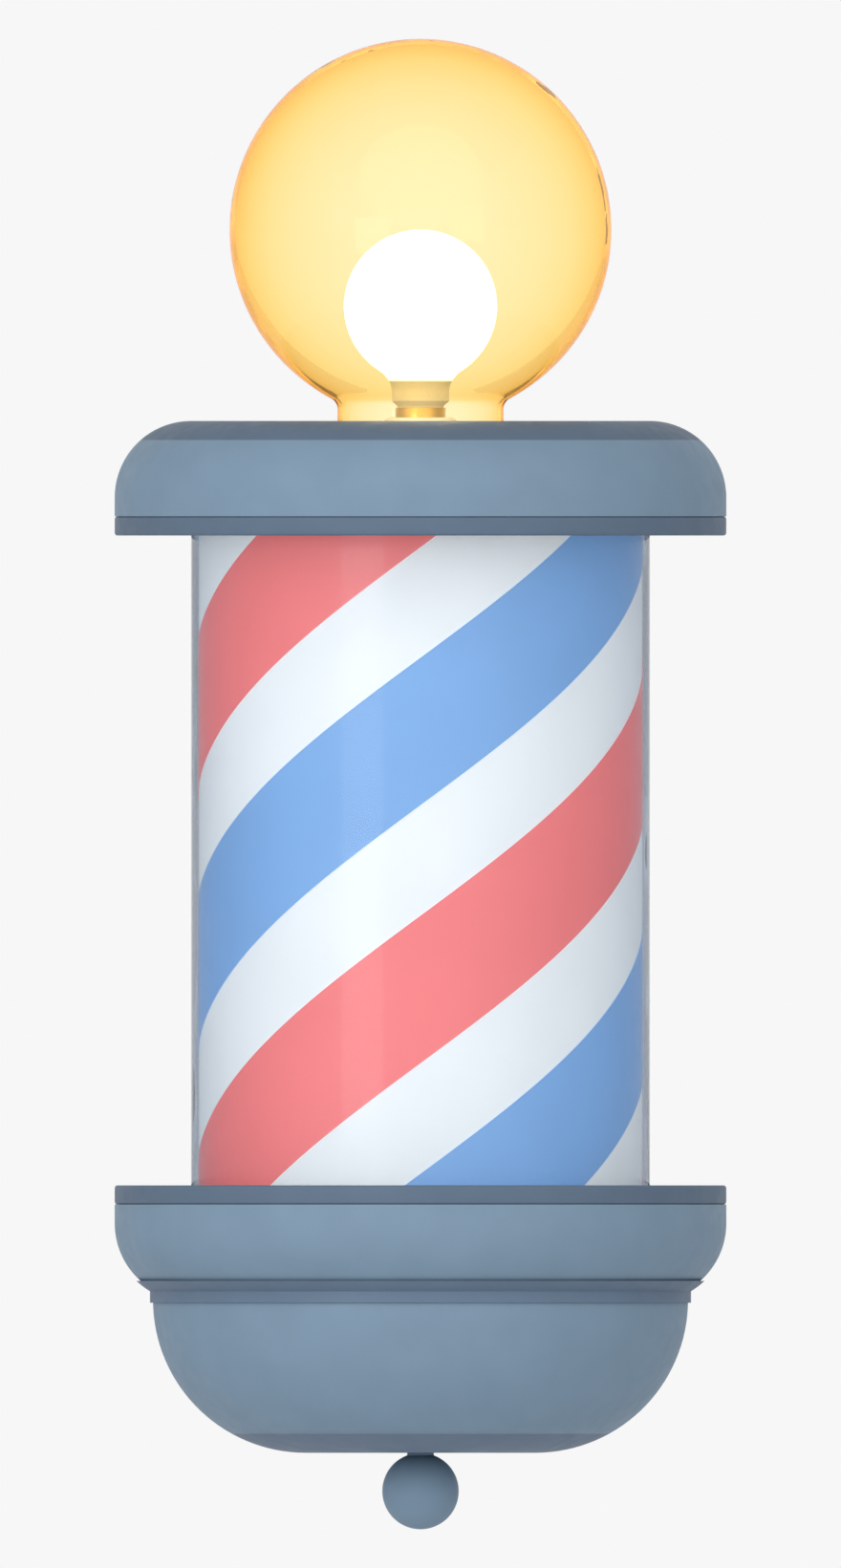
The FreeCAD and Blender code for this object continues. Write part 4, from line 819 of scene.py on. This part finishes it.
def make_floor():
    """A pale floor so large that its edge stays out of low views."""
    shape = bmesh.new()
    bmesh.ops.create_grid(shape, x_segments=FLOOR_CELLS, y_segments=FLOOR_CELLS, size=FLOOR_REACH)
    floor = piece_from("floor", shape, Vector((0, 0, cad_low.z - FLOOR_DROP)))
    finish = Finish("floor", (0.86, 0.86, 0.87), 0.7, Specular_IOR_Level=0.2)
    finish.rough(finish.noise(0.2, 3), 0.65, 0.8)
    finish.bump(finish.noise(2 * MM, 2), 0.02 * MM)
    floor.data.materials.append(finish.material)


def make_world():
    """Pale light all round: a broad soft glow behind the camera, a pale back, and dimmer sides."""
    world = bpy.data.worlds.new("studio")
    bpy.context.scene.world = world
    world.use_nodes = True
    nodes = world.node_tree.nodes
    links = world.node_tree.links
    facing = nodes.new("ShaderNodeVectorMath")
    facing.operation = "DOT_PRODUCT"
    facing.inputs[1].default_value = GLOW_FROM.normalized()
    links.new(nodes.new("ShaderNodeTexCoord").outputs["Generated"], facing.inputs[0])
    total = nodes.new("ShaderNodeMath")
    glows = ((0, 1, SIDE_LIGHT, FRONT_LIGHT), (BACK_START, BACK_END, 0, BACK_LIGHT))
    for socket, (start, end, base, gain) in zip(total.inputs, glows):
        glow = nodes.new("ShaderNodeMapRange")
        glow.interpolation_type = "SMOOTHSTEP"
        glow.inputs["From Min"].default_value = start
        glow.inputs["From Max"].default_value = end
        glow.inputs["To Min"].default_value = base
        glow.inputs["To Max"].default_value = base + gain
        links.new(facing.outputs["Value"], glow.inputs["Value"])
        links.new(glow.outputs["Result"], socket)
    links.new(total.outputs["Value"], nodes["Background"].inputs["Strength"])
    nodes["Background"].inputs["Color"].default_value = (1, 1, 1, 1)


def make_key():
    """One large soft light in front, to the left of the camera."""
    light = bpy.data.lights.new("key", "AREA")
    light.shape = "SQUARE"
    light.size = KEY_SIZE
    light.energy = KEY_POWER
    lamp = bpy.data.objects.new("key", light)
    lamp.location = AXIS + KEY_PLACE
    aim = AXIS - lamp.location
    lamp.rotation_euler = aim.to_track_quat("-Z", "Y").to_euler()
    bpy.context.scene.collection.objects.link(lamp)


def make_camera():
    """A level view from straight in front, without perspective."""
    camera = bpy.data.cameras.new("camera")
    camera.type = "ORTHO"
    camera.ortho_scale = (cad_high.z - cad_low.z) * FRAME_MARGIN
    camera.clip_end = CAMERA_REACH
    viewer = bpy.data.objects.new("camera", camera)
    viewer.location = Vector((AXIS.x, AXIS.y - CAMERA_DISTANCE, (cad_low.z + cad_high.z) / 2))
    viewer.rotation_euler = (math.radians(90), 0, 0)
    bpy.context.scene.collection.objects.link(viewer)
    bpy.context.scene.camera = viewer


# ---------------------------------------------------------------- everything, in order

dress_frame()
make_caps()
make_bowl()
make_covers()
make_trim()
make_rings()
make_finial()
make_pipe("clear_sleeve", "clear_tube", TUBE_WALL, TUBE_EDGE)
make_pipe("drum_skin", "drum_shell", DRUM_WALL, DRUM_EDGE)
# at the front, a red band crosses an eighth of the lead below the middle and a blue one above it
make_stripes("red_bands", "red_stripes", -STRIPE_LEAD / 8)
make_stripes("blue_bands", "blue_stripes", STRIPE_LEAD / 8)
make_globe()
make_lamp()
make_hardware()

make_floor()
make_world()
make_key()
make_camera()
bpy.context.scene.view_settings.view_transform = "Standard"
